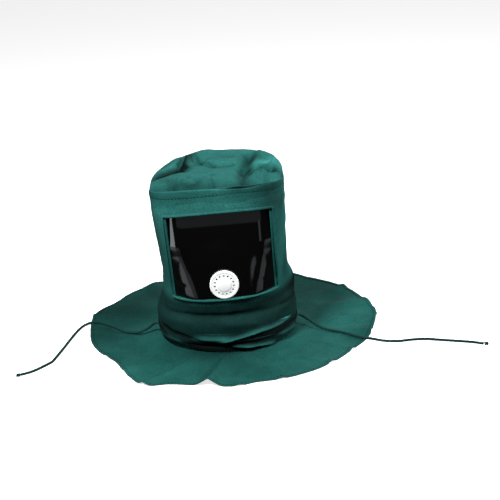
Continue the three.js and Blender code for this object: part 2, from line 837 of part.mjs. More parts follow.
// The cape
function capeFold(angle, share) {
  const turnScale = radians(capeReach) / (capeReach - hoodWidth / 2);
  let height = 0;
  for (const fold of capeFolds) {
    const { along, aside } = foldPlace(
      turnBetween(angle, fold.fromAngle) * turnScale,
      share,
      0,
      fold.from,
      turnBetween(fold.toAngle, fold.fromAngle) * turnScale,
      fold.to,
    );
    const ridge = fold.start + (fold.end - fold.start) * along;
    height += ridge * smooth(1 - aside / (2 * fold.spread));
  }
  return capeFoldHeight * height;
}

function capePoint(column, ring, depth) {
  const angle = 360 * column / capeColumns - 180;
  const turn = radians(angle);
  const share = capeRings[ring];
  const wall = wallRadius(angle, neckHeight);
  const inside = wall - clothThickness;
  const radius = inside + (outlineReach(angle) - inside) * share;
  const neckTop = neckHeight - clearance - clothThickness;
  const down = smooth((radius - wall) / capeSlopeReach);
  const height = neckTop * (1 - down) + capeFold(angle, share) * down + clothThickness;
  return new THREE.Vector3(radius * Math.sin(turn), -radius * Math.cos(turn), height - depth);
}

function cape() {
  return shell({
    outer: (column, ring) => capePoint(column, ring, 0),
    inner: (column, ring) => capePoint(column, ring, clothThickness),
    columns: capeColumns,
    rows: capeRings.length - 1,
    closed: true,
  });
}

// The hood, with the middle of its cape's box at the origin.
const group = new THREE.Group();
addPiece(group, 'crown', crown(), cloth());
addPiece(group, 'hood_body', hoodBody(), cloth());
addPiece(group, 'brow_hem', browHem(), cloth());
addPiece(group, 'window_binding', windowBinding(), trimCloth());
addPiece(group, 'window_facing', windowFacing(), trimCloth());
addPiece(group, 'window_sheet', windowSheet(), sheetFilm());
addPiece(group, 'valve_cover', valveCover(), whitePlastic());
addPiece(group, 'valve_back_ring', valveBackRing(), whitePlastic());
const frontReach = frontCasingReach;
const backEnd = 360 - backCasingStart;
const frontCasing = casing(-frontReach, frontReach, frontCasingColumns, casingFolds);
addPiece(group, 'casing_front', frontCasing, cloth());
const backCasing = casing(backCasingStart, backEnd, backCasingColumns, []);
addPiece(group, 'casing_back', backCasing, cloth());
addPiece(group, 'drawstring_hidden', hiddenDrawstring(), braid());
addPiece(group, 'cord_left', tube(cordPoints(-1, leftCordRoute)), braid());
addPiece(group, 'cord_right', tube(cordPoints(1, rightCordRoute)), braid());
addPiece(group, 'knot_left', knot(leftCordRoute), braid());
addPiece(group, 'knot_right', knot(rightCordRoute), braid());
const capePiece = addPiece(group, 'cape', cape(), cloth());
const capeBox = new THREE.Box3().setFromObject(capePiece);
const middle = capeBox.getCenter(new THREE.Vector3());
group.position.set(-middle.x, -middle.y, -capeBox.min.z);

export default group;
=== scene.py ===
"""A green sandblasting hood that stands on its cape, with its drawstring ends laid out."""

import math
from typing import NamedTuple

import bmesh
import bpy
import numpy as np
from mathutils import Matrix, Vector


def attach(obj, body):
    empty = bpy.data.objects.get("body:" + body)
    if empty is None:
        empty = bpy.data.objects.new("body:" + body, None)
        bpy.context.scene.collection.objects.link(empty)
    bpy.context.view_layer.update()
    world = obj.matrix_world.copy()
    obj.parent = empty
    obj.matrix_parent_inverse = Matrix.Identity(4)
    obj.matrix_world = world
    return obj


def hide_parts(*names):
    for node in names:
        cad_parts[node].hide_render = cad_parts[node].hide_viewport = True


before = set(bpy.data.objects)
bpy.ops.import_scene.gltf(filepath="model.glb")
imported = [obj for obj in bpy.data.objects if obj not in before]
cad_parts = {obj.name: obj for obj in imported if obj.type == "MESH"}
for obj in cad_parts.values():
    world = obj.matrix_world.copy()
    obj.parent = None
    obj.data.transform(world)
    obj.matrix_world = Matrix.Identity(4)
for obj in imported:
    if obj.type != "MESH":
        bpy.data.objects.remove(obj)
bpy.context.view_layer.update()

# Lengths are in millimetres, with the neck's axis at 0, 0 and the window facing -Y. Angles
# are in degrees round the neck, 0 in front and growing towards +X.
MM = 0.001
NECK_PLACE = np.array([-8.493, -22.430, 0.0])

CLOTH_THICKNESS = 1.5
BINDING_THICKNESS = 2.4
FACING_THICKNESS = 1.2
CASING_THICKNESS = 1.3
SHEET_THICKNESS = 1.0
CLEARANCE = 0.3
CASING_CLEARANCE = 0.6

HOOD_WIDTH = 236.0
HOOD_DEPTH = 236.0
NECK_HEIGHT = 12.0
WALL_HEIGHT = 293.0
RIM_HEIGHT = NECK_HEIGHT + WALL_HEIGHT
LEAN_SLOPE = 0.031
LEAN_CENTRE = 140.0
SLUMP_DEPTH = 9.0
SLUMP_ANGLE = -112.0
SLUMP_SPREAD = 34.0
SLUMP_START = 245.0
WALL_FOLD_DEPTH = 6.0
SMALL_FOLD = 4.0
WALL_WRINKLE = 0.9
WALL_WRINKLE_SIZE = 26.0
RIM_FADE = 12.0
BACK_FADE = 14.0

CROWN_RISE = 17.0
CROWN_FOLD_HEIGHT = 12.0
CROWN_EDGE_ROUNDNESS = 5.0
CROWN_WRINKLE = 1.3
CROWN_WRINKLE_SIZE = 24.0

BROW_BASE = 287.0
BROW_HEIGHT = 16.0
BROW_END_HEIGHT = 1.0
BROW_LIFT = 1.4
BROW_SINK = 1.6
BROW_END_THICKNESS = 1.0
BROW_SLIT_DEPTH = 9.0
BROW_SLIT_ANGLE = 19.0
BROW_SLIT_SPREAD = 15.0
BROW_SLIT_WIDENING = 1.5
BROW_WAVE = 0.9
BROW_WAVE_SIZE = 9.0
BROW_PINCH_DEPTH = 3.0
BROW_PINCH_ANGLE = -62.5
BROW_PINCH_SPREAD = 3.0
BROW_BEND = 40.0
BROW_TAPER = 40.0
BROW_END = 84.0
BROW_THICKNESS = 2.6
BROW_STITCH_DROP = 13.0
BROW_STITCH_END = 66.0

WINDOW_WIDTH = 192.0
WINDOW_BOTTOM = 117.5
WINDOW_TOP = 275.0
WINDOW_MARGIN = 9.0
FACING_REVEAL = 4.0
BINDING_WIDTH = 5.0
BINDING_CORNER = 3.0
BINDING_OVERLAP = 0.3
BINDING_GAP = 0.2
WINDOW_STITCH_DROP = 8.5
WINDOW_FADE = 10.0
FILM_RIPPLE = 0.10
FILM_RIPPLE_SIZE = 34.0
FILM_RIPPLE_ACROSS = 1.4
FILM_RIPPLE_UP = 0.15
FILM_BEND_START = 64.0
FILM_EDGE_SLOPE = 0.68
FILM_MIDDLE = 12.0
FILM_FLAT = 27.0
FILM_TOP_BAND = 24.0
FILM_TOP_LEAN = 1.4
FILM_ROOM = 1.0
FILM_FADE = 5.0
FILM_EDGE_FADE = 10.0

# Where the film's flat part behind the valve ends and how wide it fades, in valve radii
FILM_VALVE_REACH = 3.4
FILM_VALVE_FADE = 2.3

VALVE_RADIUS = 26.0
VALVE_THICKNESS = 8.4
VALVE_WALL = 2.0
VALVE_HEIGHT = 144.0
VALVE_HOLES = 15
VALVE_HOLE_RADIUS = 1.65
VALVE_HOLE_CIRCLE = 17.2
VALVE_DOME_RADIUS = 11.5
VALVE_BEVEL = 1.6
VALVE_DOME_RISE = 0.7
VALVE_STANDOFF = 0.4
VALVE_RIM_WIDTH = 4.0
VALVE_STEP = 0.5
VALVE_HOLE_TOP = VALVE_THICKNESS + 2.0
VALVE_HOLE_BOTTOM = VALVE_THICKNESS - 7.0
VALVE_SIDES = 96
HOLE_SIDES = 20

CORD_DIAMETER = 5.0
CORD_LAY = 9.0
CORD_STEP = 1.6
CORD_SIDES = 18
CASING_BOTTOM = 15.0
CASING_TOP = 53.0
CASING_BULGE = 9.0
CASING_FOLD_HEIGHT = 9.0
CASING_TAPER = 0.35
CORD_ROOM = 7.0
CORD_HEIGHT = 33.0
CASING_REACH = 79.0
CASING_MOUTH = 4.0
SEAM_SWELL = 3.6
SEAM_SWELL_RISE = 34.0
SEAM_UNDER = 6.0
SEAM_FADE = 10.0
CASING_WRINKLE = 0.5
CASING_WRINKLE_SIZE = 11.0
CASING_STITCH_END = 77.0

# The casing's two rows of stitches, as shares of its height
CASING_STITCH_HEIGHTS = {"top": 0.90, "bottom": 0.05}
CASING_CLOTH_HEIGHT = 52.0
BACK_CASING_START = 90.0
KNOT_LENGTH = 10.0
KNOT_WIDTH = 7.0

CAPE_REACH = 270.0
CAPE_SLOPE_REACH = 42.0
CAPE_FOLD_HEIGHT = 15.0
CAPE_WRINKLE = 1.0
CAPE_WRINKLE_SIZE = 30.0
HEM_WIDTH = 6.0
HEM_THICKNESS = 1.0

STITCH_LENGTH = 4.2
STITCH_GAP = 2.4
STITCH_THICKNESS = 1.1
STITCH_SIDES = 6
STITCH_RISE = 0.25
STITCH_BEND = 2.2
STITCH_LIFT = 0.25

# A stitch's rings: their places along it and thicknesses, as shares of its own.
STITCH_RINGS = [(-0.5, 0.25), (-0.38, 0.8), (0.0, 1.0), (0.38, 0.8), (0.5, 0.25)]

PANE_STEP = 2.4
ROW_STEP = 2.2
SIDE_COLUMNS = 170

# The camera: where it looks, how high it stands, how far off and how it is turned
CAMERA_TARGET = np.array([49.2, 6.7, 158.5])
CAMERA_ELEVATION = 20.0
CAMERA_DISTANCE = 3000.0
CAMERA_ROLL = 3.5
CAMERA_LENS = 116.757


class Section(NamedTuple):
    height: float
    width: float
    front: float
    back: float
    square: float
    back_square: float


# Sections of the wall from the neck up: height as a share of the wall's, width and depths
# as shares of the hood's, and how square the wall is in front and behind.
WALL_SECTIONS = [
    Section(0.00, 1.050, 1.010, 1.040, 2.1, 2.0),
    Section(0.07, 1.050, 1.020, 1.040, 2.1, 2.0),
    Section(0.14, 1.068, 1.045, 1.050, 2.1, 2.0),
    Section(0.19, 1.068, 1.055, 1.050, 2.1, 2.0),
    Section(0.24, 1.050, 1.032, 1.040, 2.2, 2.0),
    Section(0.30, 1.015, 1.050, 1.030, 2.3, 2.0),
    Section(0.36, 0.990, 1.080, 1.020, 2.4, 2.0),
    Section(0.46, 0.970, 1.070, 1.010, 2.8, 2.0),
    Section(0.64, 0.985, 1.040, 1.000, 4.0, 2.0),
    Section(0.78, 1.000, 1.020, 1.005, 5.5, 2.1),
    Section(0.90, 1.010, 1.000, 1.020, 6.5, 2.3),
    Section(1.00, 1.010, 0.965, 1.040, 5.0, 2.6),
]


class Dent(NamedTuple):
    angle: float
    spread: float
    height: float
    rise: float
    depth: float


# Dents, and swellings where depth is above 0: angle in degrees, height and rise as shares of
# the wall's height, depth as a share of the wall's fold depth.
WALL_DENTS = [
    Dent(0, 60, 0.235, 0.020, -0.55),
    Dent(58, 14, 0.230, 0.030, 0.80),
    Dent(94, 24, 0.310, 0.070, 1.45),
    Dent(90, 22, 0.960, 0.080, 0.70),
    Dent(-92, 30, 0.700, 0.080, -0.60),
    Dent(-90, 32, 0.600, 0.300, -0.50),
    Dent(-60, 20, 0.180, 0.030, 0.40),
    Dent(135, 14, 0.450, 0.200, -0.60),
    Dent(-135, 16, 0.450, 0.220, -0.70),
    Dent(180, 22, 0.330, 0.060, -0.80),
]


class Fold(NamedTuple):
    """A ridge, or a crease when lift is below 0, along a line on the cloth."""

    from_u: float
    from_v: float
    to_u: float
    to_v: float
    width: float
    lift: float
    sharp: float = 0.0


# Small folds of the wall: angle and height in mm at both ends, width in mm, and lift as a
# share of a small fold.
WALL_FOLDS = [
    Fold(-62, 81, -35, 84, 4.0, -0.25, 0.6),
    Fold(-35, 84, 7, 84.5, 4.5, -0.30, 0.6),
    Fold(7, 84.5, 30, 86, 4.0, -0.20, 0.6),
    Fold(-50, 71, -30, 68, 6.0, 0.35, 0.1),
    Fold(0, 66, 22, 65, 6.0, 0.40, 0.1),
    Fold(89, 104, 82, 80, 5.0, -0.80, 0.7),
    Fold(82, 80, 50, 82, 4.5, -0.75, 0.7),
    Fold(72, 92, 52, 90, 8.0, 0.50),
    Fold(66, 150, 70, 250, 3.5, -0.45, 0.7),
    Fold(78, 120, 74, 270, 8.0, 0.55),
    Fold(84, 250, 96, 110, 9.0, -0.50, 0.3),
    Fold(-66, 120, -72, 250, 4.0, -0.40, 0.7),
    Fold(-78, 130, -80, 260, 8.0, 0.40),
    Fold(-98, 100, -78, 80, 6.0, -0.60, 0.5),
    Fold(104, 240, 120, 130, 10.0, 0.50),
    Fold(-110, 250, -122, 120, 9.0, 0.45),
    Fold(140, 280, 128, 90, 11.0, -0.80, 0.2),
    Fold(-150, 285, -136, 100, 11.0, -0.70, 0.2),
    Fold(160, 270, 164, 100, 12.0, 0.60),
    Fold(176, 230, 160, 80, 9.0, -0.60, 0.4),
    Fold(-165, 120, -120, 78, 8.0, -0.60, 0.5),
    Fold(120, 76, 160, 90, 7.0, -0.60, 0.5),
]

# Folds of the crown in shares of half the hood's width and depth.
CROWN_FOLDS = [
    Fold(-0.75, -0.84, 0.80, -0.84, 0.16, -0.85),
    Fold(-0.96, -0.10, -0.60, 0.14, 0.050, -1.15, 0.4),
    Fold(-0.60, 0.14, -0.46, 0.10, 0.045, -0.60, 0.5),
    Fold(-0.86, 0.24, -0.62, 0.48, 0.16, 0.55),
    Fold(-0.50, 0.78, -0.55, 0.52, 0.045, -0.80, 0.3),
    Fold(-0.55, 0.52, -0.60, 0.16, 0.05, -0.80, 0.3),
    Fold(-0.44, 0.74, -0.44, 0.50, 0.05, 0.40, 0.2),
    Fold(-0.36, 0.78, -0.25, 0.32, 0.032, -0.85, 0.6),
    Fold(-0.25, 0.32, -0.03, 0.10, 0.032, -0.90, 0.6),
    Fold(-0.03, 0.10, 0.26, 0.08, 0.032, -0.90, 0.6),
    Fold(-0.14, 0.27, 0.22, 0.22, 0.08, 0.60),
    Fold(0.30, 0.10, 0.34, 0.50, 0.06, 0.35, 0.2),
    Fold(0.54, 0.60, 0.44, -0.15, 0.10, -0.85),
    Fold(0.44, -0.15, 0.34, -0.78, 0.09, -0.75, 0.1),
    Fold(0.68, 0.45, 0.60, -0.05, 0.09, 0.30),
    Fold(0.54, -0.42, 0.92, 0.22, 0.04, -1.10, 0.4),
    Fold(0.62, -0.50, 0.98, 0.10, 0.05, 0.55, 0.3),
    Fold(0.70, 0.62, 0.92, 0.34, 0.09, 0.60),
    Fold(0.92, -0.02, 0.96, -0.44, 0.08, 0.55),
    Fold(0.84, -0.30, 0.90, -0.38, 0.06, -1.00, 0.3),
    Fold(0.72, -0.20, 0.77, -0.92, 0.026, -0.35, 0.6),
    Fold(-0.08, -0.30, -0.06, -0.93, 0.026, -0.26, 0.6),
    Fold(-0.10, -0.45, 0.02, -0.75, 0.05, 0.30),
    Fold(-0.62, -0.30, -0.68, -0.93, 0.026, -0.32, 0.6),
    Fold(-0.72, -0.36, -0.75, -0.90, 0.028, -0.24, 0.6),
    Fold(-0.40, -0.40, -0.55, -0.80, 0.07, 0.35),
    Fold(-0.46, -0.28, -0.30, -0.55, 0.05, -0.45, 0.3),
    Fold(-0.60, 0.78, -0.15, 0.86, 0.18, 0.35),
    Fold(-0.20, 0.88, 0.60, 0.86, 0.18, 0.35),
]


class BrowPlace(NamedTuple):
    rise: float
    out: float
    open: float = 0.0


# Section of the folded strip: share of its height, how far out from its middle as a share
# of half its thickness, and its share of the depth of the slit in its top edge.
BROW_PROFILE = [
    BrowPlace(0.00, 0.1),
    BrowPlace(0.08, 0.5),
    BrowPlace(0.25, 0.8),
    BrowPlace(0.50, 1.0),
    BrowPlace(0.57, 1.05),
    BrowPlace(0.61, 0.90),
    BrowPlace(0.65, 1.05),
    BrowPlace(0.76, 1.1),
    BrowPlace(0.86, 1.1),
    BrowPlace(0.94, 1.05, 0.3),
    BrowPlace(0.985, 0.95, 0.42),
    BrowPlace(1.00, 0.7, 0.46),
    BrowPlace(0.99, 0.3, 0.8),
    BrowPlace(0.98, 0.0, 1.0),
    BrowPlace(0.99, -0.4, 0.7),
    BrowPlace(0.995, -0.62, 0.12),
    BrowPlace(1.00, -0.7),
    BrowPlace(0.97, -1.0),
    BrowPlace(0.88, -1.0),
    BrowPlace(0.70, -1.0),
    BrowPlace(0.40, -0.9),
    BrowPlace(0.10, -0.8),
    BrowPlace(0.00, -0.3),
]


class CasingEdge(NamedTuple):
    angle: float
    bottom: float
    top: float


# Lower and upper edge of the front casing, in mm above the floor.
CASING_EDGES = [
    CasingEdge(-82, 19, 56),
    CasingEdge(-64, 20, 60),
    CasingEdge(-49, 20, 58),
    CasingEdge(-34, 18, 55),
    CasingEdge(-20, 14.5, 52),
    CasingEdge(-4, 12, 51.5),
    CasingEdge(8, 11.5, 53),
    CasingEdge(18, 13, 57),
    CasingEdge(36, 12, 60.5),
    CasingEdge(47, 17, 58),
    CasingEdge(60, 20, 53),
    CasingEdge(82, 15, 46),
]

# Height and bulge of the casing from its lower edge to its upper one.
CASING_PROFILE = [
    (0.00, 0.20),
    (0.05, 0.40),
    (0.15, 0.50),
    (0.42, 0.52),
    (0.70, 0.50),
    (0.90, 0.42),
    (0.97, 0.36),
    (1.00, 0.24),
]

# Folds of the front casing: angle and height in mm at both ends, width in mm, and lift
# as a share of the casing's fold height.
CASING_FOLDS = [
    Fold(-16, 30, 36, 54, 3.4, 1.15, 0.2),
    Fold(14, 46, 72, 54, 3.8, 0.90, 0.2),
    Fold(-4, 28, 24, 19, 3.6, 1.10, 0.1),
    Fold(8, 23, 50, 13, 3.4, 0.90, 0.1),
    Fold(-32, 41, 8, 40, 5.5, 1.15),
    Fold(-34, 29, 10, 26, 4.2, -1.30, 0.1),
    Fold(-8, 30, 36, 36, 4.4, -1.50, 0.1),
    Fold(18, 31, 70, 44, 4.6, -1.10, 0.1),
    Fold(0, 18, 36, 10, 3.6, -0.90, 0.1),
    Fold(-72, 50, -26, 37, 3.6, -0.70, 0.3),
    Fold(-76, 30, -30, 27, 4.6, 0.40),
    Fold(-80, 42, -54, 28, 3.6, -0.70, 0.3),
    Fold(38, 29, 80, 24, 4.6, 0.70),
    Fold(46, 48, 82, 35, 3.6, -0.80, 0.3),
]

BACK_CASING_FOLDS = [
    Fold(98, 22, 112, 44, 4.0, -0.50, 0.4),
    Fold(122, 46, 134, 20, 4.0, -0.60, 0.4),
    Fold(140, 24, 156, 42, 4.5, 0.60, 0.2),
    Fold(164, 46, 172, 20, 4.0, -0.60, 0.4),
    Fold(180, 24, 196, 44, 4.5, 0.60, 0.2),
    Fold(204, 44, 214, 20, 4.0, -0.60, 0.4),
    Fold(222, 24, 238, 44, 4.5, 0.50, 0.2),
    Fold(248, 44, 258, 22, 4.0, -0.50, 0.4),
]

# Outline of the cape: angle, and reach as a share of the cape's reach.
CAPE_OUTLINE = [
    (-170, 1.085),
    (-154, 1.115),
    (-143, 1.120),
    (-130, 1.062),
    (-119, 1.070),
    (-111, 1.045),
    (-100, 0.990),
    (-89, 0.960),
    (-79, 0.926),
    (-61, 0.872),
    (-44, 0.942),
    (-34, 0.992),
    (-26, 0.915),
    (-12, 0.890),
    (3, 0.918),
    (11, 0.890),
    (24, 0.915),
    (43, 0.930),
    (60, 0.938),
    (76, 0.985),
    (88, 1.010),
    (99, 1.062),
    (115, 1.080),
    (129, 1.115),
    (146, 1.115),
    (168, 1.085),
]


class CapeFold(NamedTuple):
    from_angle: float
    start: float
    to_angle: float
    end: float
    spread: float
    start_lift: float
    end_lift: float
    sharp: float = 0.0


# Folds of the cape: angle, and share of the way out to its edge, at both ends of a line,
# spread as such a share, and lift at both ends as a share of the cape's fold height.
CAPE_FOLDS = [
    CapeFold(-5, 0.22, -10, 1.15, 0.10, 0.30, 1.00, 0.8),
    CapeFold(116, 0.55, 110, 1.05, 0.10, 0.20, 0.45),
    CapeFold(97, 0.40, 94, 1.05, 0.09, 0.25, 0.45),
    CapeFold(-142, 0.55, -124, 0.62, 0.15, 0.40, 0.40),
    CapeFold(-146, 0.60, -152, 1.10, 0.10, 0.20, 0.45),
    CapeFold(150, 0.50, 155, 1.10, 0.11, 0.20, 0.45),
]

# Finer folds of the cape in the same columns, that only the cloth's surface shows.
CAPE_SMALL_FOLDS = [
    CapeFold(-3, 0.14, -6, 0.36, 0.028, 0.50, 0.10, 0.9),
    CapeFold(84, 0.30, 81, 1.05, 0.045, 0.10, 0.42, 0.5),
    CapeFold(104, 0.35, 103, 1.05, 0.035, 0.08, 0.30, 0.5),
    CapeFold(66, 0.20, 62, 0.98, 0.04, 0.06, 0.28, 0.4),
    CapeFold(40, 0.25, 47, 1.00, 0.05, 0.05, 0.22, 0.3),
    CapeFold(20, 0.20, 22, 0.95, 0.05, 0.05, 0.20, 0.3),
    CapeFold(6, 0.30, 4, 1.00, 0.05, 0.04, 0.16, 0.2),
    CapeFold(-30, 0.20, -35, 1.05, 0.05, 0.06, 0.36, 0.4),
    CapeFold(-52, 0.25, -50, 0.95, 0.06, 0.05, 0.20, 0.2),
    CapeFold(-74, 0.30, -70, 0.95, 0.05, 0.06, 0.26, 0.4),
    CapeFold(-92, 0.45, -99, 1.05, 0.05, 0.08, 0.40, 0.4),
    CapeFold(-113, 0.50, -113, 1.05, 0.05, 0.10, 0.40, 0.5),
    CapeFold(128, 0.45, 130, 1.05, 0.05, 0.08, 0.36, 0.4),
    CapeFold(172, 0.45, 175, 1.05, 0.06, 0.05, 0.25, 0.3),
    CapeFold(-168, 0.45, -166, 1.05, 0.06, 0.05, 0.25, 0.3),
]

# Middle lines of the free cords, from their exits to their knots.
LEFT_CORD_ROUTE = [
    (-131, -12, 32.5),
    (-138.5, -4, 28),
    (-147, 2, 19.5),
    (-158, 6, 11.5),
    (-173, 9, 6.4),
    (-195, 21, 4.4),
    (-213, 43, 4.4),
    (-237, 66, 4.6),
    (-255, 78, 4.6),
    (-267, 75, 4.4),
    (-278, 67, 2.9),
    (-287, 46, 2.7),
    (-297, 9, 2.7),
    (-307, -33, 2.7),
    (-316, -69, 2.7),
    (-323, -94, 2.7),
    (-332, -107, 2.7),
    (-346, -124, 2.7),
    (-358, -135, 2.7),
    (-375, -145, 2.9),
]
RIGHT_CORD_ROUTE = [
    (131.5, -12, 32),
    (138.5, -7, 27.5),
    (150, -6, 18.5),
    (165, -11, 8.8),
    (179, -23, 5.0),
    (196, -35, 4.4),
    (211, -44, 4.4),
    (232, -63, 4.5),
    (249, -77, 4.5),
    (263, -83, 4.4),
    (276, -88, 2.9),
    (292, -94, 2.7),
    (313, -97, 2.7),
    (334, -94, 2.7),
    (359, -95, 2.7),
    (385, -103, 2.7),
    (415, -113, 2.7),
    (441, -122, 2.7),
    (459, -132, 2.9),
]

# Colours, linear
CLOTH_COLOUR = (0.0112, 0.078, 0.070)
CLOTH_WORN_COLOUR = (0.0190, 0.106, 0.096)
# The cape's colours are the hood's cloth darkened: painted shade for the weaker light on the
# cape.
CAPE_SHADED_COLOUR = (0.0064, 0.054, 0.047)
CAPE_SHADED_WORN_COLOUR = (0.0108, 0.074, 0.065)
TRIM_COLOUR = (0.0070, 0.074, 0.065)


class ShadingPatch(NamedTuple):
    """A soft patch of painted shade (change below 0) or painted light (above 0) on the cloth."""

    angle: float
    spread: float
    height: float
    rise: float
    change: float


# Painted light and shade on the wall: height and rise in mm.
WALL_SHADING = [
    ShadingPatch(42, 13, 290, 24, -0.70),
    ShadingPatch(-2, 26, 293, 14, 0.22),
    ShadingPatch(70, 10, 240, 50, 0.45),
    ShadingPatch(86, 10, 240, 60, 0.30),
    ShadingPatch(-70, 16, 225, 50, -0.52),
    ShadingPatch(66, 11, 140, 32, -0.55),
    ShadingPatch(86, 14, 100, 26, -0.30),
    ShadingPatch(40, 24, 90, 22, -0.03),
]
# Painted shade over the band below the window, fading out towards the window.
BAND_SHADE = -0.76
BAND_SHADE_TOP = 120.0
BAND_SHADE_FADE = 20.0
# Painted shade on the crown's front behind the strip and along its front edge.
CROWN_FRONT_SHADE = -0.62
CROWN_EDGE_SHADE = -0.35
# Painted shade in creases.
CREASE_SHADE = 0.55
# Painted highlight along the strip's top edge.
BROW_EDGE_HIGHLIGHT = 0.04
BINDING_TONE = -0.05
# Painted highlights on ridges.
RIDGE_HIGHLIGHT = 0.16
# Painted shade over the casing, painted highlights on its ridges and along its upper edge.
CASING_SHADE = -0.80
CASING_RIDGE_HIGHLIGHT = 0.60
CASING_EDGE_HIGHLIGHT = 0.95
# The darkest painted shade allowed.
DARKEST_SHADE = -0.96

# Painted shade on the front casing: height and rise in mm.
CASING_SHADING = [
    ShadingPatch(-20, 22, 24, 9, -0.30),
    ShadingPatch(12, 14, 24, 5, -0.25),
    ShadingPatch(-84, 5, 34, 30, -0.50),
    ShadingPatch(84, 5, 34, 30, -0.50),
    ShadingPatch(0, 60, 12, 4, -0.20),
    ShadingPatch(68, 9, 51, 7, -0.60),
]

# Painted light and shade on the crown, along lines as its folds are: change of tone in place of
# lift.
CROWN_SHADING = [
    Fold(0.62, 0.00, 0.97, 0.15, 0.18, 0.75),
    Fold(-0.90, -0.02, -0.56, 0.26, 0.13, -1.00),
    Fold(-0.56, 0.30, -0.46, 0.86, 0.09, -0.85),
    Fold(-0.78, -0.30, -0.66, -0.62, 0.12, -0.25),
    Fold(-0.48, -0.66, -0.32, -0.64, 0.09, -0.35),
    Fold(0.55, 0.44, 0.44, -0.50, 0.12, -0.30),
    Fold(0.84, 0.05, 0.95, -0.10, 0.12, 0.45),
    Fold(0.60, -0.42, 0.94, 0.22, 0.06, -0.40),
    Fold(0.80, -0.28, 0.92, -0.42, 0.09, -0.35),
    Fold(0.64, 0.05, 0.95, 0.34, 0.07, 0.15),
    Fold(0.62, 0.80, 0.80, 0.50, 0.12, 0.20),
    Fold(-0.86, 0.24, -0.62, 0.52, 0.14, 0.10),
]

# Painted light and shade on the cape: height and rise as shares of the way out to its edge.
CAPE_SHADING = [
    ShadingPatch(-121, 16, 0.85, 0.50, -0.45),
    ShadingPatch(-94, 12, 0.85, 0.40, -0.42),
    ShadingPatch(-150, 30, 0.60, 0.60, -0.40),
    ShadingPatch(180, 50, 0.60, 0.60, -0.28),
    ShadingPatch(110, 22, 0.60, 0.50, 0.30),
    ShadingPatch(84, 16, 1.00, 0.25, -0.28),
    ShadingPatch(8, 24, 0.55, 0.40, -0.22),
    ShadingPatch(-10, 50, 0.05, 0.22, -0.50),
]

# The film is painted near black: painted shade for the dark inside seen through the clear sheet.
FILM_SHADE_COLOUR = (0.0007, 0.0007, 0.0007)
PLASTIC_COLOUR = (0.90, 0.91, 0.90)
CORD_COLOUR = (0.004, 0.032, 0.028)
THREAD_COLOUR = (0.002, 0.018, 0.016)


# Numbers
def smooth(share):
    t = np.clip(share, 0.0, 1.0)
    return t * t * (3.0 - 2.0 * t)


def bell(distance, spread):
    return np.exp(-((distance / spread) ** 2))


def turn_between(angle, other):
    return (angle - other + 180.0) % 360.0 - 180.0


def curve_through(before, start, end, after, share):
    start_slope = (end - before) / 2
    end_slope = (after - start) / 2
    square = share * share
    cube = square * share
    return (
        (2 * cube - 3 * square + 1) * start
        + (cube - 2 * square + share) * start_slope
        + (3 * square - 2 * cube) * end
        + (cube - square) * end_slope
    )


def through_table(places, values, at):
    """A smooth curve through the values of a table at rising places."""
    places, values = np.asarray(places, float), np.asarray(values, float)
    last = len(places) - 1
    at = np.clip(at, places[0], places[-1])
    row = np.clip(np.searchsorted(places, at, side="left") - 1, 0, last - 1)
    share = (at - places[row]) / (places[row + 1] - places[row])
    before = values[np.maximum(row - 1, 0)]
    after = values[np.minimum(row + 2, last)]
    return curve_through(before, values[row], values[row + 1], after, share)


def unit(vectors):
    return vectors / np.linalg.norm(vectors, axis=-1, keepdims=True)


def turns(count):
    """Even turns round a circle, in radians."""
    return np.linspace(0, 2 * math.pi, count, endpoint=False)


def distance_along(points):
    """How far each point lies along the line through all of them."""
    steps = np.linalg.norm(np.diff(points, axis=0), axis=1)
    return np.concatenate([[0], np.cumsum(steps)])


def between(places, low, high):
    """Which places start a step that lies between two others."""
    return (places > low - 0.01) & (places < high - 0.01)


def section_value(name, share):
    heights = [row.height for row in WALL_SECTIONS]
    values = [getattr(row, name) for row in WALL_SECTIONS]
    return through_table(heights, values, share)


def outline_reach(angle):
    rows = [(a - 360, r) for a, r in CAPE_OUTLINE[-2:]]
    rows += CAPE_OUTLINE
    rows += [(a + 360, r) for a, r in CAPE_OUTLINE[:3]]
    first = CAPE_OUTLINE[0][0]
    at = (np.asarray(angle, float) - first) % 360.0 + first
    places, values = zip(*rows)
    return CAPE_REACH * through_table(places, values, at)


def value_noise(u, v, seed):
    """Soft noise between -1 and 1 over a plane, one bump per unit."""
    table = np.random.RandomState(seed).uniform(-1, 1, (64, 64))
    column, row = np.floor(u).astype(int), np.floor(v).astype(int)
    across, up = smooth(u - column), smooth(v - row)
    left, right = column % 64, (column + 1) % 64
    low, high = row % 64, (row + 1) % 64
    bottom = table[low, left] * (1 - across) + table[low, right] * across
    top = table[high, left] * (1 - across) + table[high, right] * across
    return bottom * (1 - up) + top * up


def wrinkles(u, v, size, seed):
    """Soft wrinkles of about a size, with smaller ones on them."""
    large = value_noise(u / size, v / size, seed)
    small = value_noise(2.3 * u / size + 9.0, 2.3 * v / size, seed + 1)
    return large + 0.45 * small


def fold_place(u, v, from_u, from_v, to_u, to_v):
    du, dv = to_u - from_u, to_v - from_v
    along = np.clip(((u - from_u) * du + (v - from_v) * dv) / (du * du + dv * dv), 0, 1)
    return along, np.hypot(u - from_u - along * du, v - from_v - along * dv)


def fold_lift(u, v, folds, u_scale=1.0, taper=0.0):
    """The sum of folds at a place. A sharp fold has a narrow line and wide flanks. Taper is
    the share of its length over which each end of a fold fades out."""
    total = np.zeros(np.broadcast(u, v).shape)
    for fold in folds:
        place = (fold.from_u * u_scale, fold.from_v, fold.to_u * u_scale, fold.to_v)
        along, aside = fold_place(u * u_scale, v, *place)
        away = aside / fold.width
        shape = (1 - fold.sharp) * np.exp(-(away**2)) + fold.sharp * np.exp(-1.6 * away)
        if taper:
            shape = shape * smooth(along / taper) * smooth((1 - along) / taper)
        total += fold.lift * shape
    return total


# The hood wall
ARC_SCALE = math.radians(1) * HOOD_WIDTH / 2


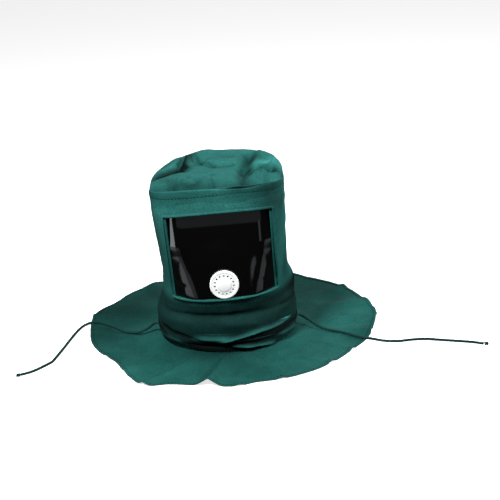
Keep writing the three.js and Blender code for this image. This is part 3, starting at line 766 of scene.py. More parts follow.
def wall_radius(angle, height):
    share = (height - NECK_HEIGHT) / WALL_HEIGHT
    turn = np.radians(angle)
    in_front = np.cos(turn) > 0
    half_width = HOOD_WIDTH / 2 * section_value("width", share)
    front = section_value("front", share)
    back = section_value("back", share)
    depth = HOOD_DEPTH / 2 * np.where(in_front, front, back)
    front_square = section_value("square", share)
    back_square = section_value("back_square", share)
    square = np.where(in_front, front_square, back_square)
    total = np.abs(np.sin(turn) / half_width) ** square
    total = total + np.abs(np.cos(turn) / depth) ** square
    radius = total ** (-1 / square)
    for dent in WALL_DENTS:
        aside = bell(turn_between(angle, dent.angle), dent.spread)
        radius = radius + WALL_FOLD_DEPTH * dent.depth * aside * bell(
            share - dent.height, dent.rise
        )
    return radius


def lean(points):
    x, y, z = points[..., 0], points[..., 1], points[..., 2]
    grown = smooth((z - CASING_TOP) / (WINDOW_BOTTOM - CASING_TOP))
    angle = np.degrees(np.arctan2(x, -y))
    outward = smooth(np.hypot(x, y) / (HOOD_WIDTH / 2))
    slumped = smooth((z - SLUMP_START) / (RIM_HEIGHT - SLUMP_START))
    slump = SLUMP_DEPTH * slumped * outward
    slump = slump * bell(turn_between(angle, SLUMP_ANGLE), SLUMP_SPREAD)
    leaned = np.empty_like(points)
    leaned[..., 0] = x - LEAN_SLOPE * (z - LEAN_CENTRE) * grown
    leaned[..., 1] = y
    leaned[..., 2] = z + LEAN_SLOPE * x * grown - slump
    return leaned


def upright_point(angle, height):
    angle, height = np.broadcast_arrays(np.asarray(angle, float), np.asarray(height, float))
    radius, turn = wall_radius(angle, height), np.radians(angle)
    return np.stack([radius * np.sin(turn), -radius * np.cos(turn), height], axis=-1)


def wall_normal(angle, height):
    step = 0.5
    across = upright_point(angle + step, height) - upright_point(angle - step, height)
    up = upright_point(angle, height + step) - upright_point(angle, height - step)
    return unit(np.cross(across, up))


def small_folds(angle, height):
    """Small folds and wrinkles of the wall: none at the rim, and no wrinkles at the back."""
    wrapped = turn_between(angle, 0.0)
    folds = SMALL_FOLD * fold_lift(wrapped, height, WALL_FOLDS, ARC_SCALE)
    noise = WALL_WRINKLE * wrinkles(wrapped * ARC_SCALE, height, WALL_WRINKLE_SIZE, 4)
    noise = noise * smooth((180 - np.abs(wrapped)) / BACK_FADE)
    return (folds + noise) * smooth((RIM_HEIGHT - height) / RIM_FADE)


def seam_swell(angle, height):
    """How far the wall swells out over the upper edge of the casing."""
    past = height - casing_edges(angle, "top")
    above = smooth(1 - np.maximum(0.0, past) / SEAM_SWELL_RISE)
    under = smooth(1 + np.minimum(0.0, past + SEAM_UNDER) / SEAM_FADE)
    return SEAM_SWELL * above * under


# The sum of the patches of painted light and shade at each place.
def shading_patches(tones, angle, height):
    total = np.zeros(np.broadcast(angle, height).shape)
    for row in tones:
        aside = bell(turn_between(angle, row.angle), row.spread)
        total += row.change * aside * bell(height - row.height, row.rise)
    return total


# Painted shade over the band below the window.
def band_shade(height):
    return BAND_SHADE * smooth((BAND_SHADE_TOP - height) / BAND_SHADE_FADE)


def fold_shading(lift):
    """Painted shade darkens the creases and painted light brightens the ridges."""
    return RIDGE_HIGHLIGHT * np.maximum(0, lift) - CREASE_SHADE * np.clip(-lift, 0, 1.4)


# Painted light and shade of the wall: its patches, the band below the window and its folds.
def wall_shading(angle, height):
    lift = fold_lift(turn_between(angle, 0.0), height, WALL_FOLDS, ARC_SCALE)
    patches = shading_patches(WALL_SHADING, angle, height)
    band = band_shade(height)
    return patches + band + fold_shading(lift) * (1 + band)


def window_calm(angle, height):
    """0 inside the window and its edge, growing to 1 away from it."""
    x = np.abs(upright_point(angle, height)[..., 0])
    beside = smooth((x - WINDOW_WIDTH / 2 - BINDING_WIDTH) / RIM_FADE)
    beside = np.where(np.cos(np.radians(angle)) > 0, beside, 1.0)
    below = smooth((WINDOW_BOTTOM - BINDING_WIDTH - height) / WINDOW_FADE)
    above = smooth((height - WINDOW_TOP - BINDING_WIDTH) / WINDOW_FADE)
    return np.maximum(np.maximum(beside, below), above)


def wall_point(angle, height, lift=0.0, folded=True):
    angle, height = np.broadcast_arrays(np.asarray(angle, float), np.asarray(height, float))
    out = np.zeros(angle.shape) + lift
    if folded:
        out = out + small_folds(angle, height) * window_calm(angle, height)
        out = out + seam_swell(angle, height)
    point = upright_point(angle, height) + wall_normal(angle, height) * out[..., None]
    return lean(point)


def angle_at_x(x, height):
    share = (np.asarray(height, float) - NECK_HEIGHT) / WALL_HEIGHT
    half_width = HOOD_WIDTH / 2 * section_value("width", share)
    depth = HOOD_DEPTH / 2 * section_value("front", share)
    square = section_value("square", share)
    y = depth * (1 - np.abs(x / half_width) ** square) ** (1 / square)
    return np.degrees(np.arctan2(x, y))


HALF_WINDOW = WINDOW_WIDTH / 2
PANE_EDGE = HALF_WINDOW - FACING_REVEAL
PANE_END = HALF_WINDOW + WINDOW_MARGIN


def steps_between(places, step):
    """Places with even steps between them, the given ones kept."""
    filled = [places[0]]
    for start, end in zip(places, places[1:]):
        count = max(1, round(abs(end - start) / step))
        filled += [start + (end - start) * (i + 1) / count for i in range(count)]
    return np.array(filled)


PANE_PLACES = [-PANE_END, -HALF_WINDOW, -PANE_EDGE, 0, PANE_EDGE, HALF_WINDOW, PANE_END]
PANE_COLUMNS = steps_between(PANE_PLACES, PANE_STEP)
WALL_ROWS = steps_between([NECK_HEIGHT, WINDOW_BOTTOM, WINDOW_TOP, RIM_HEIGHT], ROW_STEP)


def wall_column_angles(height):
    """The angles of all columns of the wall at one height, the window's first."""
    front = angle_at_x(PANE_COLUMNS, height)
    start = front[-1]
    share = np.arange(1, SIDE_COLUMNS + 1) / (SIDE_COLUMNS + 1)
    from_back = 2 * share - 1
    spread = 1 - (1 - np.abs(from_back)) ** 1.25
    return np.concatenate([front, 180 + (180 - start) * np.sign(from_back) * spread])


# Meshes
def to_frame(points):
    return (np.asarray(points, float) + NECK_PLACE) * MM


def grid_faces(rows, columns, closed, keep=None):
    """Quads of a grid and the grid places of their corners, seen from outside."""
    across = columns if closed else columns - 1
    row, column = np.mgrid[0 : rows - 1, 0:across]
    if keep is not None:
        row, column = row[keep], column[keep]
    row, column = row.ravel(), column.ravel()
    corners = [(row, column), (row, column + 1), (row + 1, column + 1), (row + 1, column)]
    faces = np.stack([r * columns + c % columns for r, c in corners], axis=-1)
    return faces, corners


def grid_piece(name, points, material, uv, thick, closed=False, keep=None, tone=None):
    """A smooth cloth over a grid of points, its thickness inward, with places in the cloth."""
    rows, columns = points.shape[:2]
    faces, corners = grid_faces(rows, columns, closed, keep)
    used = np.unique(faces)
    number = np.full(rows * columns, -1)
    number[used] = np.arange(len(used))
    mesh = bpy.data.meshes.new(name)
    mesh.from_pydata(to_frame(points.reshape(-1, 3)[used]).tolist(), [], number[faces].tolist())
    layer = mesh.uv_layers.new(name="cloth")
    places = np.stack([uv[r, c] for r, c in corners], axis=1).reshape(-1, 2) * MM
    layer.data.foreach_set("uv", places.astype(np.float32).ravel())
    if tone is not None:
        set_painted_shading(mesh, tone.reshape(-1)[used])
    mesh.shade_smooth()
    piece = add_piece(name, mesh, material)
    solid = piece.modifiers.new("thickness", "SOLIDIFY")
    solid.thickness = thick * MM
    solid.offset = -1.0
    solid.use_even_offset = False
    return piece


def set_painted_shading(mesh, tone):
    """Gives each point its painted light and shade: -1 black, 0 none, above 0 lighter."""
    layer = mesh.attributes.new("tone", "FLOAT", "POINT")
    layer.data.foreach_set("value", np.maximum(DARKEST_SHADE, tone).astype(np.float32))


def new_object(name, data):
    made = bpy.data.objects.new(name, data)
    bpy.context.scene.collection.objects.link(made)
    return made


def add_piece(name, mesh, material):
    piece = new_object(name, mesh)
    mesh.materials.append(material)
    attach(piece, "root")
    return piece


def solid_piece(name, points, faces, material, tone=None):
    """A closed smooth surface, its faces turned outward."""
    mesh = bpy.data.meshes.new(name)
    mesh.from_pydata(to_frame(points.reshape(-1, 3)).tolist(), [], faces)
    if tone is not None:
        set_painted_shading(mesh, tone)
    fix_normals(mesh)
    mesh.shade_smooth()
    return add_piece(name, mesh, material)


def tube_faces(count, around):
    """Faces along rings of points, with both ends closed."""
    faces = grid_faces(count, around, True)[0].tolist()
    faces.append(tuple(range(around)))
    faces.append(tuple(range(count * around - 1, (count - 1) * around - 1, -1)))
    return faces


def loop_sweep(name, path, out, side, profile, material, tone=None):
    """A closed profile swept round a closed path. Profile places are (side, out) in mm."""
    points = np.stack([path + side * s + out * o for s, o in profile], axis=1)
    count, around = points.shape[:2]
    faces = grid_faces(count + 1, around, True)[0] % (count * around)
    if tone is not None:
        tone = np.repeat(tone, around)
    return solid_piece(name, points, faces.tolist(), material, tone)


def fix_normals(mesh):
    work = bmesh.new()
    work.from_mesh(mesh)
    bmesh.ops.recalc_face_normals(work, faces=work.faces)
    work.to_mesh(mesh)
    work.free()


def even_path(points, step):
    """Points at even steps along a smooth curve through the given ones."""
    points = np.asarray(points, float)
    last = len(points) - 1
    share = np.linspace(0, 1, 16, endpoint=False)[:, None]
    dense = []
    for i in range(last):
        before, after = points[max(0, i - 1)], points[min(last, i + 2)]
        dense.append(curve_through(before, points[i], points[i + 1], after, share))
    dense = np.concatenate([*dense, points[-1:]])
    gone = distance_along(dense)
    at = np.linspace(0, gone[-1], max(2, round(gone[-1] / step)) + 1)
    return np.stack([np.interp(at, gone, dense[:, k]) for k in range(3)], axis=-1)


def path_frames(points):
    """Two directions across a path at each point, that don't twist round it."""
    along = unit(np.gradient(points, axis=0))
    side = unit(np.cross(along[0], [0.0, 0.0, 1.0]))
    sides = []
    for direction in along:
        side = unit(side - direction * (side @ direction))
        sides.append(side)
    return np.array(sides), np.cross(along, sides)


def stitches(name, points, normals, material):
    """A row of stitches along a line on the cloth, each a short rod with sunken ends."""
    gone = distance_along(points)
    pitch = STITCH_LENGTH + STITCH_GAP
    place = (np.arange(max(1, int(gone[-1] // pitch))) + 0.5) * pitch

    def at(where, values):
        return np.stack([np.interp(where, gone, values[:, k]) for k in range(3)], axis=-1)

    middle, normal = at(place, points), at(place, normals)
    along = unit(at(place + 0.5, points) - at(place - 0.5, points))
    across = unit(np.cross(along, normal))
    corners = []
    for reach, thick in STITCH_RINGS:
        sunk = STITCH_THICKNESS * (STITCH_RISE - STITCH_BEND * reach * reach)
        spot = middle + along * STITCH_LENGTH * reach + normal * sunk
        for turn in turns(STITCH_SIDES):
            ring = across * math.cos(turn) + normal * math.sin(turn)
            corners.append(spot + ring * thick * STITCH_THICKNESS / 2)
    one = tube_faces(len(STITCH_RINGS), STITCH_SIDES)
    firsts = np.arange(len(place)) * len(corners)
    faces = [tuple(int(first) + k for k in face) for first in firsts for face in one]
    return solid_piece(name, np.stack(corners, axis=1), faces, material)


# Materials
def set_inputs(made, **inputs):
    """Sets a node's inputs by their names, with _ for each space."""
    for name, value in inputs.items():
        made.inputs[name.replace("_", " ")].default_value = value


def new_material(name, colour, roughness, **inputs):
    material = bpy.data.materials.new(name)
    material.use_nodes = True
    shader = material.node_tree.nodes["Principled BSDF"]
    set_inputs(shader, Base_Color=(*colour, 1.0), Roughness=roughness, **inputs)
    material.diffuse_color = (*colour, 1.0)
    return material, material.node_tree, shader


def node(tree, kind, **inputs):
    made = tree.nodes.new("ShaderNode" + kind)
    set_inputs(made, **inputs)
    return made


def noise(tree, scale, detail, roughness=0.5):
    """Soft noise that is fixed to the piece."""
    made = node(tree, "TexNoise", Scale=scale, Detail=detail, Roughness=roughness)
    coordinates = node(tree, "TexCoord")
    tree.links.new(coordinates.outputs["Object"], made.inputs["Vector"])
    return made.outputs["Fac"]


def ranged(tree, source, low, high, to_low=0.0, to_high=1.0):
    """A value brought from one range to another."""
    made = node(tree, "MapRange", From_Min=low, From_Max=high, To_Min=to_low, To_Max=to_high)
    tree.links.new(source, made.inputs["Value"])
    return made.outputs["Result"]


def bump(tree, height, strength, distance):
    made = node(tree, "Bump", Strength=strength, Distance=distance)
    tree.links.new(height, made.inputs["Height"])
    return made


def grained_material(name, colour, roughness, grain, strength, distance, **inputs):
    """A plain finish with a fine grain in its surface."""
    material, tree, shader = new_material(name, colour, roughness, **inputs)
    relief = bump(tree, noise(tree, *grain), strength, distance)
    tree.links.new(relief.outputs["Normal"], shader.inputs["Normal"])
    return material


def cloth_material(name, colour, worn):
    """Woven cotton: a fine twill, small unevenness and slightly paler worn patches, its colour
    scaled by the painted light and shade that each point holds.
    """
    sheen = {"Sheen_Weight": 0.01, "Sheen_Roughness": 0.5, "Sheen_Tint": (0.4, 0.95, 0.9, 1.0)}
    material, tree, shader = new_material(name, colour, 0.78, Specular_IOR_Level=0.05, **sheen)
    links = tree.links
    mix = node(tree, "Mix")
    mix.data_type = "RGBA"
    mix.inputs[6].default_value = (*colour, 1.0)
    mix.inputs[7].default_value = (*worn, 1.0)
    links.new(ranged(tree, noise(tree, 14.0, 3.0, 0.6), 0.40, 0.72), mix.inputs[0])
    grain = ranged(tree, noise(tree, 430.0, 2.0, 0.7), 0.25, 0.75, 0.60, 1.42)
    # The points' painted light and shade scale the colour together with the grain.
    tones = node(tree, "Attribute")
    tones.attribute_name = "tone"
    shade = node(tree, "Math")
    shade.operation = "MULTIPLY_ADD"
    for socket, source in enumerate((tones.outputs["Fac"], grain, grain)):
        links.new(source, shade.inputs[socket])
    shaded = node(tree, "VectorMath")
    shaded.operation = "SCALE"
    links.new(mix.outputs[2], shaded.inputs[0])
    links.new(shade.outputs["Value"], shaded.inputs["Scale"])
    links.new(shaded.outputs["Vector"], shader.inputs["Base Color"])
    twill = node(tree, "TexWave", Scale=330.0, Distortion=0.3, Detail=1.0)
    twill.wave_type = "BANDS"
    twill.bands_direction = "DIAGONAL"
    links.new(node(tree, "TexCoord").outputs["UV"], twill.inputs["Vector"])
    weave = bump(tree, twill.outputs["Fac"], 0.22, 0.0003)
    uneven = bump(tree, noise(tree, 420.0, 2.0), 0.18, 0.0008)
    links.new(weave.outputs["Normal"], uneven.inputs["Normal"])
    links.new(uneven.outputs["Normal"], shader.inputs["Normal"])
    return material


def thread_material():
    """Dull sewing thread, a little darker than the cloth."""
    return new_material("thread", THREAD_COLOUR, 0.85, Specular_IOR_Level=0.08)[0]


def film_material():
    """Glossy sheet painted near black as painted shade for the dark inside behind it, with faint
    smears of dust.
    """
    material, tree, shader = new_material("window_film", FILM_SHADE_COLOUR, 0.10)
    smears = ranged(tree, noise(tree, 9.0, 4.0, 0.7), 0.45, 0.80, 0.08, 0.15)
    tree.links.new(smears, shader.inputs["Roughness"])
    return material


def plastic_material():
    """White moulded plastic with a satin surface."""
    return grained_material("valve_plastic", PLASTIC_COLOUR, 0.42, (900.0, 2.0), 0.06, 0.0002)


def cord_material():
    """Twisted cotton cord with fine fibres."""
    dull = {"Sheen_Weight": 0.03, "Specular_IOR_Level": 0.08}
    return grained_material("cord_braid", CORD_COLOUR, 0.85, (1100.0, 3.0), 0.4, 0.0004, **dull)


# The cords
CORD_LIFT = CASING_CLEARANCE + CLEARANCE + CORD_DIAMETER / 2


def mouth_point(side):
    return wall_point(side * CASING_REACH, CORD_HEIGHT, CORD_LIFT, folded=False)


def cord_path(side, route):
    """The free cord's middle line, straight out of the casing and then along its route."""
    mouth = mouth_point(side)
    inside = wall_point(side * (CASING_REACH - 2), CORD_HEIGHT, CORD_LIFT, folded=False)
    onward = unit(mouth - inside)
    start = mouth + onward * 2 * CLEARANCE
    straight = start + onward * CORD_DIAMETER / 2
    return even_path([start, straight, *route], CORD_STEP)


def twisted_cord(name, path, material):
    """Three strands laid round each other."""
    sides, ups = path_frames(path)
    turn = turns(CORD_SIDES)
    lay = 2 * math.pi * distance_along(path)[:, None] / (3 * CORD_LAY)
    strand = np.abs(np.cos(1.5 * (turn[None, :] - lay)))
    radius = CORD_DIAMETER / 2 * (0.86 + 0.14 * strand)
    ring = sides[:, None, :] * np.cos(turn)[None, :, None]
    ring = ring + ups[:, None, :] * np.sin(turn)[None, :, None]
    points = path[:, None, :] + ring * radius[..., None]
    # Each face starts at its other end, and so is split along its other diagonal.
    faces = [face[::-1] for face in tube_faces(*radius.shape)]
    return solid_piece(name, points, faces, material)


def knot(name, route, material):
    """An overhand knot: a tube along a trefoil, flattened to the knot's size."""
    end, before = np.array(route[-1], float), np.array(route[-2], float)
    along = unit((end - before) * [1, 1, 0])
    across = np.array([-along[1], along[0], 0.0])
    centre = end + along * (KNOT_LENGTH / 2 + CLEARANCE)
    centre[2] = KNOT_WIDTH / 2 + 0.2
    turn = turns(72)
    reach = KNOT_WIDTH / 2 - CORD_DIAMETER / 4
    x = (np.sin(turn) + 2 * np.sin(2 * turn)) / 3
    y = (np.cos(turn) - 2 * np.cos(2 * turn)) / 3
    z = -np.sin(3 * turn)
    stretch = KNOT_LENGTH / KNOT_WIDTH
    path = centre + along * (x * reach * stretch)[:, None] + across * (y * reach)[:, None]
    path[:, 2] += z * reach * 0.62
    ahead = round_path(path)
    side = unit(np.cross(ahead, path - centre))
    up = np.cross(side, ahead)
    thick = CORD_DIAMETER / 4 + 0.35
    profile = [(thick * math.cos(t), thick * math.sin(t)) for t in turns(12)]
    return loop_sweep(name, path, up, side, profile, material)


# The hood's pieces
def wall_uv(points):
    """Cloth coordinates: distance round the hood and height, one column more than drawn."""
    rows, columns = points.shape[:2]
    around = np.linspace(0, 1, columns + 1) * math.pi * HOOD_WIDTH
    u = np.broadcast_to(around, (rows, columns + 1))
    step = np.linalg.norm(np.diff(points, axis=0), axis=2).mean(axis=1)
    v = np.concatenate([[0], np.cumsum(step)])
    return np.stack([u, np.broadcast_to(v[:, None], u.shape)], axis=-1)


def plan_uv(points):
    """Cloth coordinates as seen from above, one column more than drawn."""
    return np.concatenate([points, points[:, :1]], axis=1)[..., :2]


def outside_opening(z, x, half):
    """Which steps of a grid lie outside the window's opening."""
    inside = between(z, WINDOW_BOTTOM, WINDOW_TOP)[:, None] & between(x, -half, half)[None, :]
    return ~inside


def hood_body(material):
    angles = np.stack([wall_column_angles(height) for height in WALL_ROWS])
    heights = np.broadcast_to(WALL_ROWS[:, None], angles.shape)
    points = wall_point(angles, heights)
    column_x = np.full(angles.shape[1], 1000.0)
    column_x[: len(PANE_COLUMNS)] = PANE_COLUMNS
    piece = grid_piece(
        "hood_cloth_wall",
        points,
        material,
        closed=True,
        keep=outside_opening(WALL_ROWS[:-1], column_x, HALF_WINDOW),
        uv=wall_uv(points),
        thick=CLOTH_THICKNESS,
        # Painted light and shade over the wall.
        tone=wall_shading(angles, heights),
    )
    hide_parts("hood_body")


def crown_top(x, y, share):
    roundness = CROWN_EDGE_ROUNDNESS
    rise = CROWN_RISE * (1 - share**roundness) ** (1 / roundness)
    away = smooth((1 - share) / 0.10)
    folds = CROWN_FOLD_HEIGHT * fold_lift(x, y, CROWN_FOLDS)
    noise = wrinkles(x * HOOD_WIDTH / 2, y * HOOD_DEPTH / 2, CROWN_WRINKLE_SIZE, 11)
    return RIM_HEIGHT + CLEARANCE + rise + (folds + CROWN_WRINKLE * noise) * away


def crown_points(shares):
    angles = wall_column_angles(RIM_HEIGHT)
    rim = upright_point(angles, RIM_HEIGHT)
    share = np.asarray(shares)[:, None]
    x, y = rim[None, :, 0] * share, rim[None, :, 1] * share
    top = crown_top(2 * x / HOOD_WIDTH, 2 * y / HOOD_DEPTH, share)
    return lean(np.stack([x, y, top], axis=-1))


def crown(material):
    edge = 1 - np.linspace(0, 1, 26) ** 2.2 * 0.22
    shares = np.concatenate([edge, np.linspace(edge[-1], 0.0, 46)[1:-1], [0.004]])
    points = crown_points(shares)
    x, y = 2 * points[..., 0] / HOOD_WIDTH, 2 * points[..., 1] / HOOD_DEPTH
    # Painted shade in the crown's creases and along its front and front edge, and painted light
    # and shade along lines of its own.
    tone = fold_shading(fold_lift(x, y, CROWN_FOLDS[1:])) + fold_lift(x, y, CROWN_SHADING)
    tone = tone + CROWN_FRONT_SHADE * smooth((-0.50 - y) / 0.35) * smooth((0.9 - x) / 0.5)
    tone = tone + CROWN_EDGE_SHADE * smooth((-0.80 - y) / 0.08)
    piece = grid_piece(
        "hood_cloth_crown",
        points,
        material,
        closed=True,
        uv=plan_uv(points),
        thick=CLOTH_THICKNESS,
        tone=tone,
    )
    fill_centre(piece.data, *points.shape[:2])
    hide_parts("crown")


def fill_centre(mesh, rows, columns):
    """Closes the small hole that the last ring leaves in the middle."""
    work = bmesh.new()
    work.from_mesh(mesh)
    work.verts.ensure_lookup_table()
    first = (rows - 1) * columns
    work.faces.new([work.verts[first + k] for k in range(columns)]).smooth = True
    work.to_mesh(mesh)
    work.free()


def to_brow_end(angles):
    """0 along the seam strip, growing to 1 at its two ends."""
    return smooth((np.abs(angles) - BROW_BEND) / BROW_TAPER)


def brow_half(angles):
    """Half the strip's thickness."""
    return (BROW_THICKNESS - (BROW_THICKNESS - BROW_END_THICKNESS) * to_brow_end(angles)) / 2


def brow_line(angles, height, risen, out):
    """A line along the strip, outward of its middle, and its level normals."""
    on_wall = np.minimum(height, RIM_HEIGHT)
    normals = unit(wall_normal(angles, on_wall) * [1, 1, 0])
    middle = BROW_LIFT * risen - BROW_SINK * (1 - risen)
    middle = middle * (1 - 0.75 * to_brow_end(angles))
    points = upright_point(angles, on_wall) + normals * (middle + out)[:, None]
    points[:, 2] = height
    return lean(points), normals


def brow_hem(material):
    """The folded strip over the front of the crown, its doubled edge open in part."""
    angles = np.linspace(-BROW_END, BROW_END, 300)
    to_end = to_brow_end(angles)
    stands = BROW_HEIGHT - (BROW_HEIGHT - BROW_END_HEIGHT) * to_end
    wave = BROW_WAVE * value_noise(angles / BROW_WAVE_SIZE, angles * 0, 21)
    pinch = BROW_PINCH_DEPTH * bell(angles - BROW_PINCH_ANGLE, BROW_PINCH_SPREAD)
    stands = stands + (wave - pinch) * (1 - 0.6 * to_end)
    slit = bell(angles - BROW_SLIT_ANGLE, BROW_SLIT_SPREAD)
    lines, tones = [], []
    for row in BROW_PROFILE:
        height = BROW_BASE + row.rise * (RIM_HEIGHT + stands - BROW_BASE)
        height = height - BROW_SLIT_DEPTH * slit * row.open
        risen = smooth(row.rise)
        out = row.out * brow_half(angles) * (1 + BROW_SLIT_WIDENING * slit * risen)
        lines.append(brow_line(angles, height, risen, out)[0])
        # The wall's painted light and shade, a painted highlight along the top edge and painted
        # shade inside the slit.
        tone = wall_shading(angles, np.minimum(height, 300.0))
        tone = tone + BROW_EDGE_HIGHLIGHT * smooth((row.rise - 0.85) / 0.1)
        in_slit = float(row.open > 0.1 and row.out < 0.5)
        tones.append(tone - in_slit * slit)
    points, tone = np.stack(lines, axis=1), np.stack(tones, axis=1).ravel()
    faces = tube_faces(*points.shape[:2])
    piece = solid_piece("brow_seam_strip", points, faces, material, tone)
    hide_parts("brow_hem")


def brow_stitches(material):
    angles = np.linspace(-BROW_STITCH_END, BROW_STITCH_END, 220)
    height = RIM_HEIGHT + BROW_HEIGHT - BROW_STITCH_DROP
    height = height - 2.5 * smooth((np.abs(angles) - 30) / 50)
    risen = smooth((height - BROW_BASE) / (RIM_HEIGHT + BROW_HEIGHT - BROW_BASE))
    points, normals = brow_line(angles, height, risen, brow_half(angles) + STITCH_LIFT)
    stitches("brow_stitches", points, normals, material)


def window_edge_path():
    """The outline of the opening with rounded corners, as places across and up."""
    side = HALF_WINDOW + BINDING_GAP - BINDING_CORNER
    bottom = WINDOW_BOTTOM - BINDING_GAP + BINDING_CORNER
    top = WINDOW_TOP + BINDING_GAP - BINDING_CORNER
    places = []
    starts = ((side, bottom, -90), (side, top, 0), (-side, top, 90), (-side, bottom, 180))
    for x, z, start in starts:
        turn = np.radians(np.linspace(start, start + 90, 6))
        corner = [x + BINDING_CORNER * np.cos(turn), z + BINDING_CORNER * np.sin(turn)]
        places.append(np.stack(corner, axis=1))
    places = np.concatenate([*places, places[0][:1]])
    dense = []
    for start, end in zip(places, places[1:]):
        count = max(1, round(math.dist(start, end) / 2.0))
        dense.append(start + (end - start) * (np.arange(count) / count)[:, None])
    return np.concatenate(dense)


def round_path(path):
    """The direction of a closed path at each of its points."""
    return unit(np.roll(path, -1, axis=0) - np.roll(path, 1, axis=0))


def window_binding(material):
    """The rolled edge round the opening."""
    x, height = window_edge_path().T
    angles = angle_at_x(x, height)
    path = wall_point(angles, height, CLEARANCE, folded=False)
    out = wall_normal(angles, height)
    side = unit(np.cross(round_path(path), out))
    upright = smooth((np.abs(x) - HALF_WINDOW + BINDING_CORNER) / BINDING_CORNER)[:, None]
    out = out * (1 - 0.65 * upright)
    shape = [(0.0, 0.0), (0.02, 0.6), (0.16, 0.92), (0.38, 1.0), (0.62, 0.86), (0.84, 0.5)]
    shape += [(1.0, 0.12), (1.0, 0.0)]
    profile = [(s * BINDING_WIDTH - BINDING_OVERLAP, o * BINDING_THICKNESS) for s, o in shape]
    # The binding a little darker, with the wall's painted light and shade.
    tone = BINDING_TONE + shading_patches(WALL_SHADING, angles, height)
    piece = loop_sweep(
        "window_rolled_edge", path, out, side, profile, material, tone
    )
    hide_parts("window_binding")


def window_stitches(material):
    x = np.linspace(-HALF_WINDOW + 2, HALF_WINDOW - 2, 160)
    height = np.full(x.shape, WINDOW_BOTTOM - WINDOW_STITCH_DROP)
    angles = angle_at_x(x, height)
    points = wall_point(angles, height, STITCH_LIFT)
    normals = wall_normal(angles, height)
    stitches("window_stitches_bottom", points, normals, material)


FACING_DEPTH = CLOTH_THICKNESS + CLEARANCE
SHEET_DEPTH = FACING_DEPTH + FACING_THICKNESS + CLEARANCE
FLAT_HALF = VALVE_RADIUS + 1


def pane_grid(depth, step_x, step_z):
    """The window's place on the wall, so deep inside it: across, up and the points."""
    x = steps_between(PANE_PLACES, step_x)
    rows = [WINDOW_BOTTOM - WINDOW_MARGIN, WINDOW_BOTTOM, WINDOW_TOP, WINDOW_TOP + WINDOW_MARGIN]
    z = steps_between(rows, step_z)
    heights = np.broadcast_to(z[:, None], (len(z), len(x)))
    return x, z, wall_point(angle_at_x(x[None, :], heights), heights, -depth, folded=False)


def window_facing(material):
    x, z, points = pane_grid(FACING_DEPTH, 3.0, 3.0)
    piece = grid_piece(
        "window_inner_frame",
        points,
        material,
        keep=outside_opening(z[:-1], x[:-1], PANE_EDGE),
        uv=np.stack(np.meshgrid(x, z), axis=-1),
        thick=FACING_THICKNESS,
    )
    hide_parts("window_facing")


def film_shape(x, z, points):
    """The film's own bend: nearly flat to each side, turning back sharply at its edges."""
    away = np.abs(x)[None, :]
    middle = wall_point(angle_at_x(0.0, z), z, -SHEET_DEPTH, folded=False)[:, 1]
    edge = wall_point(angle_at_x(PANE_EDGE, z), z, -SHEET_DEPTH, folded=False)[:, 1]
    turned = np.maximum(0.0, away - FILM_BEND_START) ** 2 / 2
    turned = turned * FILM_EDGE_SLOPE / (PANE_EDGE - FILM_BEND_START)
    turned_end = FILM_EDGE_SLOPE * (PANE_EDGE - FILM_BEND_START) / 2
    edge = np.maximum(edge, middle + turned_end)
    spread = np.hypot(np.maximum(0, away - FILM_FLAT), FILM_MIDDLE) - FILM_MIDDLE
    spread_end = math.hypot(PANE_EDGE - FILM_FLAT, FILM_MIDDLE) - FILM_MIDDLE
    slope = (edge - middle - turned_end) / spread_end
    shaped = middle[:, None] + slope[:, None] * spread + turned
    behind = np.maximum(shaped, points[..., 1])
    open_share = smooth((WINDOW_TOP - FILM_ROOM - z) / FILM_FADE)
    open_share = open_share * smooth((z - WINDOW_BOTTOM - FILM_ROOM) / FILM_FADE)
    shaped = behind + (shaped - behind) * open_share[:, None]
    return np.where(away <= PANE_EDGE, shaped, points[..., 1])


def window_sheet(material):
    x, z, points = pane_grid(SHEET_DEPTH, 1.6, 2.4)
    points[..., 1] = film_shape(x, z, points)
    inside = smooth((PANE_EDGE - np.abs(x)) / FILM_EDGE_FADE)[None, :]
    inside = inside * smooth((WINDOW_TOP - z) / FILM_EDGE_FADE)[:, None]
    inside = inside * smooth((z - WINDOW_BOTTOM) / FILM_EDGE_FADE)[:, None]
    across, up = x[None, :] * FILM_RIPPLE_ACROSS, z[:, None] * FILM_RIPPLE_UP
    ripple = FILM_RIPPLE * wrinkles(across, up, FILM_RIPPLE_SIZE, 31)
    points[..., 1] += inside * ripple
    leaning = smooth((z - WINDOW_TOP + FILM_TOP_BAND) / FILM_TOP_BAND)[:, None]
    points[..., 1] += FILM_TOP_LEAN * leaning
    matrix = np.array(valve_matrix())
    centre, out = matrix[:3, 3] / MM - NECK_PLACE, matrix[:3, 2]
    near = np.hypot(points[..., 0] - centre[0], points[..., 2] - centre[2]) / VALVE_RADIUS
    plane = centre[1] - (points[..., 2] - centre[2]) * out[2] / out[1]
    share = smooth((FILM_VALVE_REACH - near) / FILM_VALVE_FADE)
    points[..., 1] = points[..., 1] * (1 - share) + plane * share
    uv = np.stack(np.meshgrid(x, z), axis=-1)
    piece = grid_piece("window_dark_sheet", points, material, uv, SHEET_THICKNESS)
    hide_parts("window_sheet")


def valve_matrix():
    """The valve's place on the flat middle of the sheet, square to it."""

    def face_at(height):
        angle = angle_at_x(FLAT_HALF, height)
        return float(wall_point(angle, height, -SHEET_DEPTH, folded=False)[1])

    low, high = face_at(VALVE_HEIGHT - VALVE_RADIUS), face_at(VALVE_HEIGHT + VALVE_RADIUS)
    tilt = math.atan2(high - low, 2 * VALVE_RADIUS)
    centre = lean(np.array([0.0, (low + high) / 2, VALVE_HEIGHT]))
    out = Vector((0, -math.cos(tilt), math.sin(tilt)))
    turn = Vector((0, 0, 1)).rotation_difference(out).to_matrix().to_4x4()
    return Matrix.Translation(Vector(to_frame(centre))) @ turn


